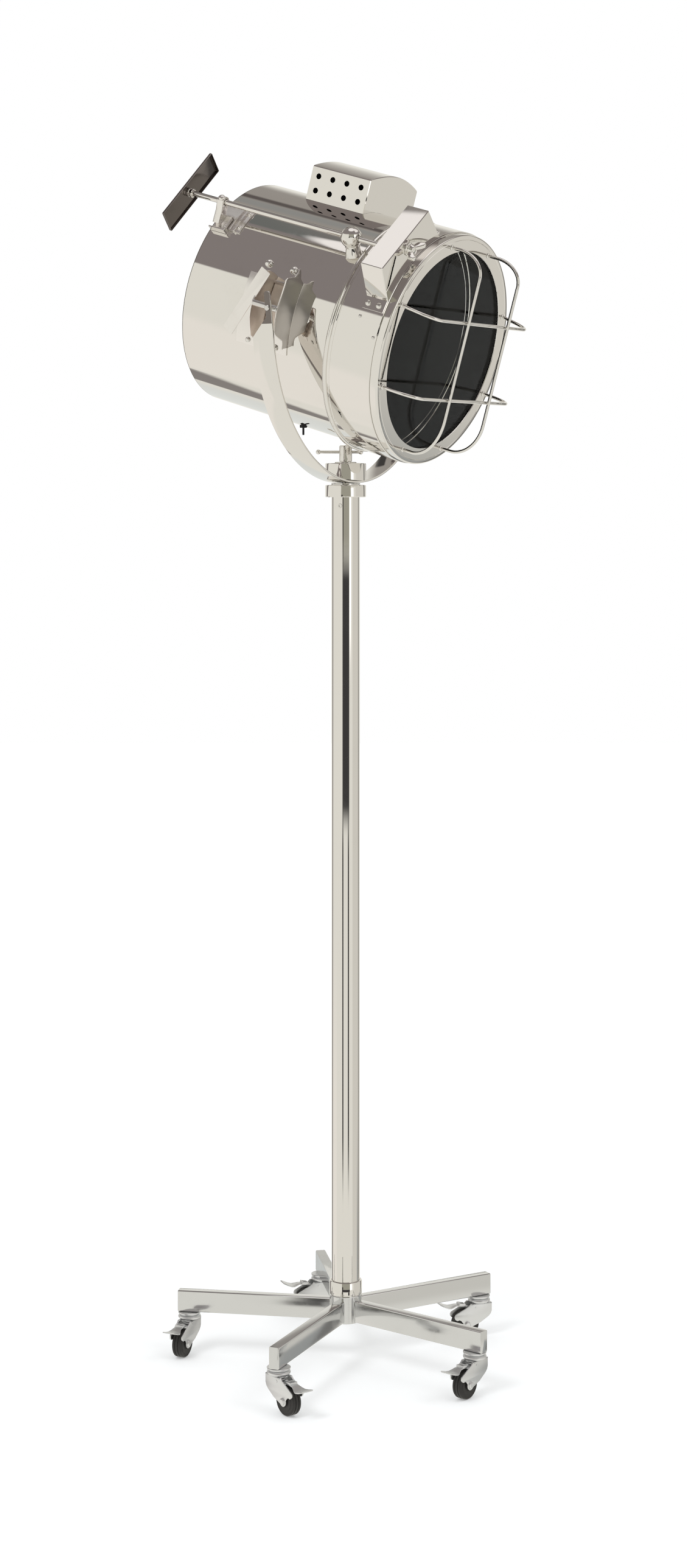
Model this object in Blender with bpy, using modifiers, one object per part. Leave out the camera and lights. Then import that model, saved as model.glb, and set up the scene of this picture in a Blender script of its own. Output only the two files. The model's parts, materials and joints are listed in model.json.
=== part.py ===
# A stage spotlight on a rolling five-legged stand, all in metres with +Z up.
# The origin is on the floor, under the middle of the object's box.

from math import acos, asin, atan2, cos, pi, radians, sin, sqrt

import bmesh
import bpy
from mathutils import Matrix, Vector

# Fits
GAP = 0.0003                    # between pieces that touch
RUNNING = 0.0006                # round a shaft that turns in a bore

# Where the pole stands
POLE_X = 0.0022
POLE_Y = 0.0141

# Castors
WHEEL_RADIUS = 0.025
WHEEL_WIDTH = 0.018
WHEEL_GROOVE = 0.0012
CASTOR_HEIGHT = 0.075
CASTOR_TRAIL = 0.028
FORK_SHEET = 0.0025
FORK_SIDE_PLAY = 0.0015
AXLE_RADIUS = 0.004
FORK_EYE_RADIUS = 0.0085
RACE_RADIUS = 0.0205
RACE_HEIGHT = 0.0125
STEM_RADIUS = 0.005
STEM_LENGTH = 0.022
PEDAL_REACH = 0.080
PEDAL_SHEET = 0.002
PEDAL_ROOT_WIDTH = 0.015
PEDAL_TIP_WIDTH = 0.030
PEDAL_PIN_RADIUS = 0.002
PEDAL_KNUCKLE = 0.0014
PEDAL_DIP = 0.0085
CASTOR_TURNS = (-114, -52, -130, -160, -160)
PEDAL_LIFTS = (5, 2, 5, 12, 12)

# Legs and hub
LEG_BEARINGS = (170.4, 246.7, 321.0, 30.8, 99.0)
LEG_REACH = 0.307
LEG_HEIGHT = 0.0381
LEG_WIDTH = 0.01905
LEG_WALL = 0.002
LEG_EDGE = 0.0012
CASTOR_INSET = 0.020
HUB_RADIUS = 0.029
HUB_RISE = 0.008
HUB_DROP = 0.002
BASE_COLLAR_RADIUS = 0.0292
BASE_COLLAR_HEIGHT = 0.025

# Pole and top collar
POLE_RADIUS = 0.0254
POLE_WALL = 0.003
POLE_TOP = 1.569
TOP_COLLAR_RADIUS = 0.0366
TOP_COLLAR_SKIRT = 0.020
TOP_COLLAR_LIP = 0.002
SEAT_HEIGHT = 0.0035
SADDLE_HEIGHT = 0.0355
SPIGOT_LENGTH = 0.120
SPIGOT_GROOVE_DEPTH = 0.003
LOCK_SCREW_DROP = 0.0352
LOCK_SCREW_BEARING = -112.7
LOCK_SCREW_RADIUS = 0.004
LOCK_SCREW_HEAD = 0.0013

# Clamp screw
WASHER_RADIUS = 0.0197
WASHER_THICKNESS = 0.002
CLAMP_SHANK_RADIUS = 0.006
CLAMP_SHANK_LENGTH = 0.055
CLAMP_HEAD_RADIUS = 0.0115
CLAMP_HEAD_HEIGHT = 0.0295
TOMMY_RADIUS = 0.0027
TOMMY_LENGTH = 0.076
TOMMY_BALL_RADIUS = 0.0045
TOMMY_SLID = -0.011
TOMMY_DROP = 0.012

# Yoke
HEAD_YAW = -32.0
HEAD_PITCH = 16.0
YOKE_CLEARANCE = 0.0585
YOKE_DROP = 0.018
YOKE_SHIFT = 0.0045
YOKE_FLARE_LEFT = 2.0
YOKE_FLARE_RIGHT = 9.0
YOKE_THICKNESS = 0.004
YOKE_WIDTH = 0.042
YOKE_TONGUE_REAR = 0.0095
YOKE_TONGUE_FRONT = 0.0205
YOKE_TONGUE_TOP = 0.036
YOKE_TAPER_START = -0.041
YOKE_TAPER_END = -0.008
PIVOT_FORWARD = 0.0145
PIVOT_RISE = 0.0075

# Trunnions
TRUNNION_BAR_CLEARANCE = 0.023
TRUNNION_BAR_RADIUS = 0.006
TRUNNION_BAR_RISE = 0.011
TRUNNION_REAR = -0.038
TRUNNION_FRONT = 0.019
BRACKET_SHEET = 0.0025
BRACKET_FOOT = 0.054
BRACKET_LIP = 0.004
BRACKET_TOE = 0.013
BRACKET_HEEL = 0.023
BRACKET_BROW = 0.012
BRACKET_TOP = 0.067
BRACKET_SKEW_BROW = 0.024
BRACKET_SKEW_LIP = 0.0155
BRACKET_SKEW_END = -0.002
BRACKET_START = 65.5
BRACKET_END = 109.5
PIVOT_PIN_RADIUS = 0.0025

# Drum
DRUM_RADIUS = 0.202
DRUM_WALL = 0.002
DRUM_REAR = -0.213
DRUM_FRONT = 0.125
REAR_DOME = 0.012
REAR_RIM = 0.010
BARREL_STEP = 0.0075
BARREL_REAR = 0.100
BARREL_FRONT = 0.197
BEAD_RADIUS = 0.004

# The barrel slips over the drum, the yoke clears the bead, and the head's height follows the strap on its seat
BARREL_RADIUS = DRUM_RADIUS + BARREL_STEP
YOKE_RADIUS = BARREL_RADIUS + BEAD_RADIUS + YOKE_CLEARANCE
STRAP_HEIGHT = POLE_TOP + TOP_COLLAR_LIP + SEAT_HEIGHT
HEAD_HEIGHT = STRAP_HEIGHT + YOKE_RADIUS + YOKE_DROP
SADDLE_TOP = STRAP_HEIGHT + SADDLE_HEIGHT
TOP_COLLAR_BOTTOM = POLE_TOP - TOP_COLLAR_SKIRT
LOCK_SCREW_HEIGHT = POLE_TOP - LOCK_SCREW_DROP
TRUNNION_BAR_REACH = YOKE_RADIUS - TRUNNION_BAR_CLEARANCE

# Bezel, glass and cage
BEZEL_FRONT = 0.212
BEZEL_OVERLAP = 0.008
BEZEL_WALL = 0.002
OPENING_RADIUS = 0.1775
GLASS_THICKNESS = 0.005
CAGE_ROD_RADIUS = 0.003
CAGE_DEPTH = 0.072
CAGE_FOOT_RADIUS = 0.190
CAGE_UPRIGHTS = ((-0.059, -0.066, 0.040, 0.070), (0.071, 0.073, 0.040, 0.060))
CAGE_LEVELS = ((0.071, 0.062, 0.036, 0.030), (-0.072, -0.075, 0.036, 0.030))
CAGE_BEND = 0.052
CAGE_STEP = 0.0058

# Lamp
REFLECTOR_FOCUS = 0.110
REFLECTOR_VERTEX = -0.190
REFLECTOR_HOLE = 0.024
REFLECTOR_SHEET = 0.0015
SOCKET_RADIUS = 0.019
SOCKET_FRONT = -0.140
BULB_RADIUS = 0.045
BULB_NECK = 0.013

# Vent box on the roof
VENT_REAR = -0.112
VENT_FRONT = 0.014
VENT_NEAR = -0.050
VENT_FAR = 0.113
VENT_NEAR_TOP = 0.257
VENT_FAR_TOP = 0.253
VENT_PEAK = 0.271
VENT_SHEET = 0.002
VENT_SKIRT = 0.006
VENT_HOLE_RADIUS = 0.0045
VENT_HOLES = 4
VENT_HOLE_ROWS = 2
VENT_SLOT_LENGTH = 0.080
VENT_SLOT_WIDTH = 0.070

# Side gear: bridge box, rod and paddle
GEAR_BEARING = 46.5
BRIDGE_REAR = 0.152
BRIDGE_FRONT = 0.196
BRIDGE_TOP = 0.262
BRIDGE_TOP_HALF = 0.076
BRIDGE_FOOT_HALF = 0.085
BRIDGE_SHEET = 0.002
BRIDGE_PAD_ANGLE = 5.5
ROD_RADIUS = 0.005
ROD_CLEARANCE = 0.0205
ROD_REACH = BARREL_RADIUS + ROD_CLEARANCE
ROD_REAR = -0.281
ROD_FRONT = 0.172
PADDLE_LENGTH = 0.157
PADDLE_WIDTH = 0.045
PADDLE_THICKNESS = 0.0045
PADDLE_SHEET = 0.0012
PADDLE_TURN = 50.0
PADDLE_SHIFT_LONG = 0.004
PADDLE_SHIFT_SHORT = -0.003
PADDLE_BOSS_RADIUS = 0.008
PADDLE_BOSS_LENGTH = 0.011
BALL_RADIUS = 0.019
BALL_PLACE = 0.075
POST_PLACE = 0.082
POST_BEARING = 50.5
POST_TOP_RADIUS = 0.012
POST_FOOT_RADIUS = 0.0155
REAR_BRACKET_PLACE = -0.205
REAR_BRACKET_WIDTH = 0.010
REAR_BRACKET_FOOT_START = 38.0
REAR_BRACKET_FOOT_END = 58.0
REAR_BRACKET_FOOT_REAR = -0.211
REAR_BRACKET_FOOT_LENGTH = 0.040
REAR_BRACKET_BLOCK_LENGTH = 0.024
REAR_BRACKET_BLOCK_HEIGHT = 0.012
WING_BORE_REACH = 0.240
WING_SPAN = 0.044
WING_SHANK_RADIUS = 0.003
WING_HUB_RADIUS = 0.006

TURN_STEPS = 56
ROUND_STEPS = 28
WHEEL_STEPS = 20
SMALL_STEPS = 14


for old in list(bpy.data.objects):
    bpy.data.objects.remove(old, do_unlink=True)

parts = bpy.data.collections.new("spotlight")
cutters = bpy.data.collections.new("cutters")
for collection in (parts, cutters):
    bpy.context.scene.collection.children.link(collection)


def material(name, colour, metallic, roughness, transmission=0.0):
    made = bpy.data.materials.new(name)
    made.use_nodes = True
    shader = made.node_tree.nodes["Principled BSDF"]
    shader.inputs["Base Color"].default_value = (*colour, 1.0)
    shader.inputs["Metallic"].default_value = metallic
    shader.inputs["Roughness"].default_value = roughness
    shader.inputs["Transmission Weight"].default_value = transmission
    return made


NICKEL = material("polished_nickel", (0.80, 0.78, 0.74), 1.0, 0.12)
SATIN = material("satin_nickel", (0.70, 0.69, 0.66), 1.0, 0.32)
ZINC = material("zinc_plate", (0.60, 0.60, 0.57), 1.0, 0.38)
STEEL = material("bright_steel", (0.66, 0.65, 0.63), 1.0, 0.22)
TYRE = material("black_rubber", (0.03, 0.028, 0.027), 0.0, 0.6)
GLASS = material("clear_glass", (0.95, 0.97, 0.96), 0.0, 0.02, 1.0)
OPAL = material("opal_bulb", (0.85, 0.84, 0.80), 0.0, 0.2)
MIRROR = material("mirror_reflector", (0.88, 0.88, 0.86), 1.0, 0.05)
PORCELAIN = material("porcelain", (0.82, 0.80, 0.74), 0.0, 0.3)


def add(name, mesh, parent, look, place=None):
    made = bpy.data.objects.new(name, mesh)
    if look is None:
        cutters.objects.link(made)
        made.hide_render = True
        made.display_type = "WIRE"
    else:
        parts.objects.link(made)
        mesh.materials.append(look)
    made.parent = parent
    if place is not None:
        made.matrix_local = place
    return made


def empty(name, parent, place):
    made = bpy.data.objects.new(name, None)
    parts.objects.link(made)
    made.parent = parent
    made.matrix_local = place
    return made


def shade(mesh, angle=35):
    mesh.shade_smooth()
    mesh.set_sharp_from_angle(angle=radians(angle))


def block(name, low, high, parent, look, place=None):
    work = bmesh.new()
    bmesh.ops.create_cube(work, size=1.0)
    size = [h - l for l, h in zip(low, high)]
    middle = [(h + l) / 2 for l, h in zip(low, high)]
    bmesh.ops.scale(work, vec=size, verts=work.verts)
    bmesh.ops.translate(work, vec=middle, verts=work.verts)
    mesh = bpy.data.meshes.new(name)
    work.to_mesh(mesh)
    work.free()
    return add(name, mesh, parent, look, place)


def rod(name, radius, start, end, parent, look, steps=SMALL_STEPS, end_radius=None):
    start = Vector(start)
    run = Vector(end) - start
    work = bmesh.new()
    bmesh.ops.create_cone(work, cap_ends=True, segments=steps, radius1=radius,
                          radius2=radius if end_radius is None else end_radius, depth=run.length)
    mesh = bpy.data.meshes.new(name)
    work.to_mesh(mesh)
    work.free()
    if look is not None:
        shade(mesh)
    turn = Vector((0, 0, 1)).rotation_difference(run).to_matrix().to_4x4()
    return add(name, mesh, parent, look, Matrix.Translation(start + run / 2) @ turn)


def ball(name, radius, centre, parent, look, steps=16):
    work = bmesh.new()
    bmesh.ops.create_uvsphere(work, u_segments=steps, v_segments=steps // 2, radius=radius)
    mesh = bpy.data.meshes.new(name)
    work.to_mesh(mesh)
    work.free()
    if look is not None:
        shade(mesh)
    return add(name, mesh, parent, look, Matrix.Translation(centre))


def turned(name, profile, parent, look, place=None, ring=False, steps=TURN_STEPS):
    # The profile holds (radius, height) points that run down the outer side.
    mesh = bpy.data.meshes.new(name)
    count = len(profile)
    edges = [(i, i + 1) for i in range(count - 1)]
    if ring:
        edges.append((count - 1, 0))
    mesh.from_pydata([(r, 0.0, h) for r, h in profile], edges, [])
    made = add(name, mesh, parent, look, place)
    screw = made.modifiers.new("turn", "SCREW")
    screw.steps = steps
    screw.render_steps = steps
    screw.use_merge_vertices = True
    screw.merge_threshold = 0.00001
    screw.use_smooth_shade = True
    return made


def plate(name, outline, thickness, parent, look, place=None):
    # A flat outline in the local XY plane, with its thickness along local Z.
    curve = bpy.data.curves.new(name, "CURVE")
    curve.dimensions = "2D"
    curve.fill_mode = "BOTH"
    curve.extrude = thickness / 2
    spline = curve.splines.new("POLY")
    spline.points.add(len(outline) - 1)
    for point, (x, y) in zip(spline.points, outline):
        point.co = (x, y, 0.0, 1.0)
    spline.use_cyclic_u = True
    return solid_from(name, curve, parent, look, place)


def solid_from(name, curve, parent, look, place=None):
    drawn = bpy.data.objects.new(name + "_drawn", curve)
    bpy.context.scene.collection.objects.link(drawn)
    bpy.context.view_layer.update()
    seen = drawn.evaluated_get(bpy.context.evaluated_depsgraph_get())
    mesh = bpy.data.meshes.new_from_object(seen)
    bpy.data.objects.remove(drawn, do_unlink=True)
    mesh.materials.clear()
    work = bmesh.new()
    work.from_mesh(mesh)
    bmesh.ops.remove_doubles(work, verts=work.verts, dist=0.000001)
    bmesh.ops.recalc_face_normals(work, faces=work.faces)
    work.to_mesh(mesh)
    work.free()
    return add(name, mesh, parent, look, place)


def tube(name, points, radius, parent, look, resolution=2):
    curve = bpy.data.curves.new(name, "CURVE")
    curve.dimensions = "3D"
    curve.bevel_depth = radius
    curve.bevel_resolution = resolution
    curve.use_fill_caps = True
    spline = curve.splines.new("POLY")
    spline.points.add(len(points) - 1)
    for point, place in zip(spline.points, points):
        point.co = (*place, 1.0)
    made = solid_from(name, curve, parent, look)
    made.data.shade_smooth()
    return made


def boolean(target, tool, operation):
    change = target.modifiers.new(operation.lower(), "BOOLEAN")
    change.operation = operation
    change.solver = "EXACT"
    change.object = tool
    return target


def cut(target, *tools):
    for tool in tools:
        boolean(target, tool, "DIFFERENCE")
    return target


def join(target, *tools):
    for tool in tools:
        boolean(target, tool, "UNION")
    return target


def soften(target, width, angle=40):
    edge = target.modifiers.new("edge", "BEVEL")
    edge.width = width
    edge.segments = 1
    edge.limit_method = "ANGLE"
    edge.angle_limit = radians(angle)
    return target


def arc(centre, radius, start, end, count):
    # Points on a circle, in degrees from +X towards +Y.
    turns = [radians(start + (end - start) * i / (count - 1)) for i in range(count)]
    return [(centre[0] + radius * cos(t), centre[1] + radius * sin(t)) for t in turns]


ALONG_X = Matrix.Rotation(radians(90), 4, "Y")      # local Z becomes +X
FACING_X = Matrix(((0, 0, 1, 0), (1, 0, 0, 0), (0, 1, 0, 0), (0, 0, 0, 1)))  # plates in the YZ plane
UPRIGHT = Matrix(((1, 0, 0, 0), (0, 0, -1, 0), (0, 1, 0, 0), (0, 0, 0, 1)))  # plates in the XZ plane

leg_bottom = CASTOR_HEIGHT
leg_top = leg_bottom + LEG_HEIGHT
hub_bottom = leg_bottom - HUB_DROP
hub_top = leg_top + HUB_RISE
stand = empty("stand", None, Matrix.Translation((POLE_X, POLE_Y, 0)))


def make_leg(number, bearing):
    turn = Matrix.Rotation(radians(bearing), 4, "Z")
    name = f"leg_{number}"
    half = LEG_WIDTH / 2
    leg = block(name, (0, -half, leg_bottom), (LEG_REACH, half, leg_top), stand, SATIN, turn)
    soften(leg, LEG_EDGE)
    bore = block(name + "_bore", (-LEG_WALL, -half + LEG_WALL, leg_bottom + LEG_WALL),
                 (LEG_REACH - LEG_WALL, half - LEG_WALL, leg_top - LEG_WALL), stand, None, turn)
    saddle = rod(name + "_saddle", HUB_RADIUS + GAP, (0, 0, 0), (0, 0, leg_top + HUB_RISE), stand, None, 64)
    seat = turn @ Vector((LEG_REACH - CASTOR_INSET, 0, 0))
    hole = rod(name + "_stem_hole", STEM_RADIUS + GAP, seat, seat + Vector((0, 0, leg_bottom + 2 * LEG_WALL)),
               stand, None)
    cut(leg, bore, saddle, hole)


def fork_outline():
    # The fork's cheek in its own plane: x along the trail, y up from the floor.
    top = CASTOR_HEIGHT - RACE_HEIGHT - GAP
    axle = (CASTOR_TRAIL, WHEEL_RADIUS)
    back = [(-RACE_RADIUS, top), (-RACE_RADIUS, 0.046), (-0.014, 0.037), (0.002, 0.027)]
    eye = arc(axle, FORK_EYE_RADIUS, 225, 380, 5)
    arch = [(axle[0] + 0.011, axle[1] + 0.006), (axle[0] + 0.0135, axle[1] + 0.0092)]
    lobe = arc((CASTOR_TRAIL + 0.019, WHEEL_RADIUS + 0.015), 0.006, 250, 420, 4)
    return back + eye + arch + lobe + [(RACE_RADIUS, top)]


def make_castor(number, bearing, turn_angle, lift):
    bearing = radians(bearing)
    reach = LEG_REACH - CASTOR_INSET
    place = Matrix.Translation((reach * cos(bearing), reach * sin(bearing), 0))
    swivel = empty(f"castor_{number}_swivel", stand,
                   place @ Matrix.Rotation(radians(turn_angle), 4, "Z"))
    race_bottom = CASTOR_HEIGHT - RACE_HEIGHT
    r = RACE_RADIUS
    stem = [(0, CASTOR_HEIGHT + STEM_LENGTH), (STEM_RADIUS, CASTOR_HEIGHT + STEM_LENGTH),
            (STEM_RADIUS, CASTOR_HEIGHT - GAP), (r * 0.8, CASTOR_HEIGHT - GAP),
            (r, CASTOR_HEIGHT - RACE_HEIGHT / 3), (r, race_bottom), (0, race_bottom)]
    turned(f"castor_{number}_race", stem, swivel, ZINC, steps=WHEEL_STEPS)

    inner_half = WHEEL_WIDTH / 2 + FORK_SIDE_PLAY
    outer_half = inner_half + FORK_SHEET
    top = race_bottom - GAP
    fork = plate(f"castor_{number}_fork", fork_outline(), 2 * outer_half, swivel, ZINC, UPRIGHT)
    space = block(f"castor_{number}_space", (-0.05, -inner_half, 0), (0.09, inner_half, top - FORK_SHEET),
                  swivel, None)
    window_half = PEDAL_ROOT_WIDTH / 2 + FORK_SIDE_PLAY
    window = block(f"castor_{number}_window", (RACE_RADIUS * 0.72, -window_half, top - 0.012),
                   (0.09, window_half, top + 0.01), swivel, None)
    axle = rod(f"castor_{number}_axle", AXLE_RADIUS, (CASTOR_TRAIL, -outer_half - 0.003, WHEEL_RADIUS),
               (CASTOR_TRAIL, outer_half + 0.003, WHEEL_RADIUS), swivel, None, 10)
    pin_x, pin_z = pedal_pin()
    pin = rod(f"castor_{number}_pedal_pin", PEDAL_PIN_RADIUS, (pin_x, -inner_half - 0.001, pin_z),
              (pin_x, inner_half + 0.001, pin_z), swivel, None, 8)
    cut(fork, space, window)
    join(fork, axle, pin)

    # The tread's flats touch the wheel's circle, and one of them lies on the floor.
    half = WHEEL_WIDTH / 2
    edge = 0.003
    half_step = pi / WHEEL_STEPS
    w = WHEEL_RADIUS / cos(half_step)
    g = WHEEL_GROOVE
    bore = AXLE_RADIUS + RUNNING
    tread = [(bore, half), (w - edge, half), (w, half - edge), (w, 0.003), (w - g, 0.002), (w - g, -0.002),
             (w, -0.003), (w, -half + edge), (w - edge, -half), (bore, -half)]
    sideways = Matrix.Translation((CASTOR_TRAIL, 0, WHEEL_RADIUS)) @ Matrix.Rotation(radians(90), 4, "X")
    sideways = sideways @ Matrix.Rotation(half_step, 4, "Z")
    turned(f"castor_{number}_wheel", tread, swivel, TYRE, sideways, ring=True, steps=WHEEL_STEPS)
    make_pedal(number, swivel, lift)


def pedal_pin():
    outer = PEDAL_PIN_RADIUS + RUNNING + PEDAL_KNUCKLE
    return 0.010, CASTOR_HEIGHT - RACE_HEIGHT - FORK_SHEET - outer - 3 * GAP


def make_pedal(number, swivel, lift):
    # A bent sheet on the pin: a curled root, a web through the window and a flared tip.
    pin_x, pin_z = pedal_pin()
    pivot = empty(f"castor_{number}_pedal_axis", swivel,
                  Matrix.Translation((pin_x, 0, pin_z)) @ Matrix.Rotation(radians(-lift), 4, "Y"))
    knuckle = PEDAL_PIN_RADIUS + RUNNING
    outer = knuckle + PEDAL_KNUCKLE
    tip = PEDAL_REACH - pin_x
    under = [(0.012, -0.002), (0.032, -0.003), (0.048, -PEDAL_DIP), (tip, -PEDAL_DIP + 0.003)]
    side = arc((0, 0), outer, 75, 300, 7)
    side += under
    side += [(x, z + PEDAL_SHEET) for x, z in under[::-1]]
    pedal = plate(f"castor_{number}_pedal", side, PEDAL_TIP_WIDTH, pivot, ZINC, UPRIGHT)
    root = PEDAL_ROOT_WIDTH / 2
    flare = PEDAL_TIP_WIDTH / 2 + 0.001
    start = 0.040
    trims = []
    for side_sign, label in ((1, "left"), (-1, "right")):
        outline = [(-0.03, root), (start, root), (start + 0.016, flare - 0.001), (tip - 0.006, flare - 0.001),
                   (tip - 0.001, flare - 0.006), (tip + 0.01, flare - 0.006), (tip + 0.01, flare + 0.01),
                   (-0.03, flare + 0.01)]
        outline = [(x, side_sign * y) for x, y in outline]
        trims.append(plate(f"castor_{number}_trim_{label}", outline, 0.2, pivot, None))
    bore = rod(f"castor_{number}_knuckle", knuckle, (0, -0.02, 0), (0, 0.02, 0), pivot, None, 12)
    cut(pedal, *trims, bore)


for index in range(5):
    make_leg(index + 1, LEG_BEARINGS[index])
    make_castor(index + 1, LEG_BEARINGS[index], CASTOR_TURNS[index], PEDAL_LIFTS[index])


def make_pole():
    pole_bore = POLE_RADIUS + GAP
    inner = POLE_RADIUS - POLE_WALL
    turned("hub", [(pole_bore, hub_top), (HUB_RADIUS, hub_top), (HUB_RADIUS, hub_bottom), (pole_bore, hub_bottom)],
           stand, SATIN, ring=True, steps=ROUND_STEPS)
    low = hub_top + GAP
    high = low + BASE_COLLAR_HEIGHT
    edge = 0.001
    turned("base_collar", [(pole_bore, high), (BASE_COLLAR_RADIUS - edge, high), (BASE_COLLAR_RADIUS, high - edge),
                           (BASE_COLLAR_RADIUS, low), (pole_bore, low)], stand, NICKEL, ring=True, steps=ROUND_STEPS)
    pole = turned("pole", [(inner, POLE_TOP), (POLE_RADIUS, POLE_TOP), (POLE_RADIUS, hub_bottom), (inner, hub_bottom)],
                  stand, NICKEL, ring=True, steps=ROUND_STEPS)
    outward = Vector((cos(radians(LOCK_SCREW_BEARING)), sin(radians(LOCK_SCREW_BEARING)), 0))
    height = Vector((0, 0, LOCK_SCREW_HEIGHT))
    hole = rod("lock_screw_hole", LOCK_SCREW_RADIUS + GAP, height + outward * 0.015, height + outward * 0.035,
               stand, None)
    cut(pole, hole)
    tip = inner - SPIGOT_GROOVE_DEPTH + 2 * GAP
    rod("lock_screw", LOCK_SCREW_RADIUS, height + outward * tip,
        height + outward * (POLE_RADIUS + LOCK_SCREW_HEAD), stand, STEEL)
    collar = [(pole_bore, POLE_TOP + GAP), (inner, POLE_TOP + GAP), (inner, POLE_TOP + TOP_COLLAR_LIP),
              (TOP_COLLAR_RADIUS, POLE_TOP + TOP_COLLAR_LIP), (TOP_COLLAR_RADIUS, TOP_COLLAR_BOTTOM),
              (pole_bore, TOP_COLLAR_BOTTOM)]
    turned("top_collar", collar, stand, NICKEL, ring=True, steps=ROUND_STEPS)


make_pole()

pan = empty("pan_axis", stand, Matrix.Rotation(radians(HEAD_YAW), 4, "Z"))
yoke_centre = HEAD_HEIGHT - YOKE_DROP
yoke_bottom = yoke_centre - YOKE_RADIUS
yoke_inside = yoke_bottom + YOKE_THICKNESS


def make_spigot():
    inner = POLE_RADIUS - POLE_WALL
    body = inner - RUNNING
    groove = body - SPIGOT_GROOVE_DEPTH + GAP
    seat = POLE_TOP + TOP_COLLAR_LIP + GAP
    top = yoke_bottom - GAP
    low = POLE_TOP - SPIGOT_LENGTH
    half = LOCK_SCREW_RADIUS + RUNNING
    thread = CLAMP_SHANK_RADIUS + GAP
    bore_floor = SADDLE_TOP - CLAMP_SHANK_LENGTH - 0.004
    outline = [(thread, top), (TOP_COLLAR_RADIUS * 0.72, top), (TOP_COLLAR_RADIUS * 0.72, seat), (body, seat),
               (body, LOCK_SCREW_HEIGHT + half), (groove, LOCK_SCREW_HEIGHT + half),
               (groove, LOCK_SCREW_HEIGHT - half), (body, LOCK_SCREW_HEIGHT - half),
               (body, low), (0, low), (0, bore_floor), (thread, bore_floor)]
    profile = outline[:10]
    turned("yoke_spigot", [(0, bore_floor), (thread, bore_floor)] + profile, pan, STEEL, steps=ROUND_STEPS)


def make_saddle():
    # The saddle's underside follows the strap's inner curve.
    bore = CLAMP_SHANK_RADIUS + GAP
    edge = 0.0012
    profile = [(bore, SADDLE_TOP), (TOP_COLLAR_RADIUS - edge, SADDLE_TOP), (TOP_COLLAR_RADIUS, SADDLE_TOP - edge),
               (TOP_COLLAR_RADIUS, yoke_bottom - 0.004), (bore, yoke_bottom - 0.004)]
    saddle = turned("top_saddle", profile, pan, NICKEL, ring=True, steps=ROUND_STEPS)
    inner = YOKE_RADIUS - YOKE_THICKNESS - GAP
    hollow = turned("saddle_curve", [(inner + 0.05, 0.1), (inner + 0.05, -0.1), (inner, -0.1), (inner, 0.1)],
                    pan, None, Matrix.Translation((0, YOKE_SHIFT, yoke_centre)) @ ALONG_X, ring=True, steps=160)
    cut(saddle, hollow)


def arm_reach(side, rise, radius):
    # How far out an arm's face is at a height over the head's centre.
    flare = radians(YOKE_FLARE_LEFT if side > 0 else YOKE_FLARE_RIGHT)
    start = radius * cos(flare) + side * YOKE_SHIFT
    return start + (rise + YOKE_DROP + radius * sin(flare)) * sin(flare) / cos(flare)


def yoke_outline():
    # The strap seen along the pan frame's X axis: y across, z up from the head's centre.
    centre = (YOKE_SHIFT, -YOKE_DROP)
    outer = YOKE_RADIUS
    inner = YOKE_RADIUS - YOKE_THICKNESS
    rise = YOKE_TONGUE_TOP
    first, last = 180 + YOKE_FLARE_RIGHT, 360 - YOKE_FLARE_LEFT
    count = 41
    points = [(-arm_reach(-1, rise, outer), rise)] + arc(centre, outer, first, last, count)
    points += [(arm_reach(1, rise, outer), rise), (arm_reach(1, rise, inner), rise)]
    return points + arc(centre, inner, last, first, count) + [(-arm_reach(-1, rise, inner), rise)]


def make_yoke():
    # Each end is cut on the slant to a narrow tongue along the strap's front edge.
    lift = Matrix.Translation((0, 0, HEAD_HEIGHT))
    strap = plate("yoke", yoke_outline(), YOKE_WIDTH, pan, NICKEL, lift @ FACING_X)
    half = YOKE_WIDTH / 2
    over = YOKE_TONGUE_TOP + 0.01
    corner = 0.004
    outline = [(-half, YOKE_TAPER_START), (YOKE_TONGUE_REAR, YOKE_TAPER_END), (YOKE_TONGUE_REAR, over - 0.012),
               (YOKE_TONGUE_REAR + corner, over - 0.01), (YOKE_TONGUE_FRONT - corner, over - 0.01),
               (YOKE_TONGUE_FRONT, over - 0.014), (half + 0.01, over - 0.02), (half + 0.01, over),
               (-half - 0.01, over), (-half - 0.01, YOKE_TAPER_START)]
    trim = plate("yoke_trim", outline, 2 * YOKE_RADIUS + 0.1, pan, None, lift @ UPRIGHT)
    hole = rod("yoke_clamp_hole", CLAMP_SHANK_RADIUS + GAP, (0, 0, yoke_bottom - 0.02), (0, 0, yoke_inside + 0.01),
               pan, None)
    height = HEAD_HEIGHT + PIVOT_RISE
    pivots = rod("yoke_pivot_holes", PIVOT_PIN_RADIUS + RUNNING, (PIVOT_FORWARD, -YOKE_RADIUS - 0.02, height),
                 (PIVOT_FORWARD, YOKE_RADIUS + 0.02, height), pan, None)
    cut(strap, trim, hole, pivots)


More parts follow.
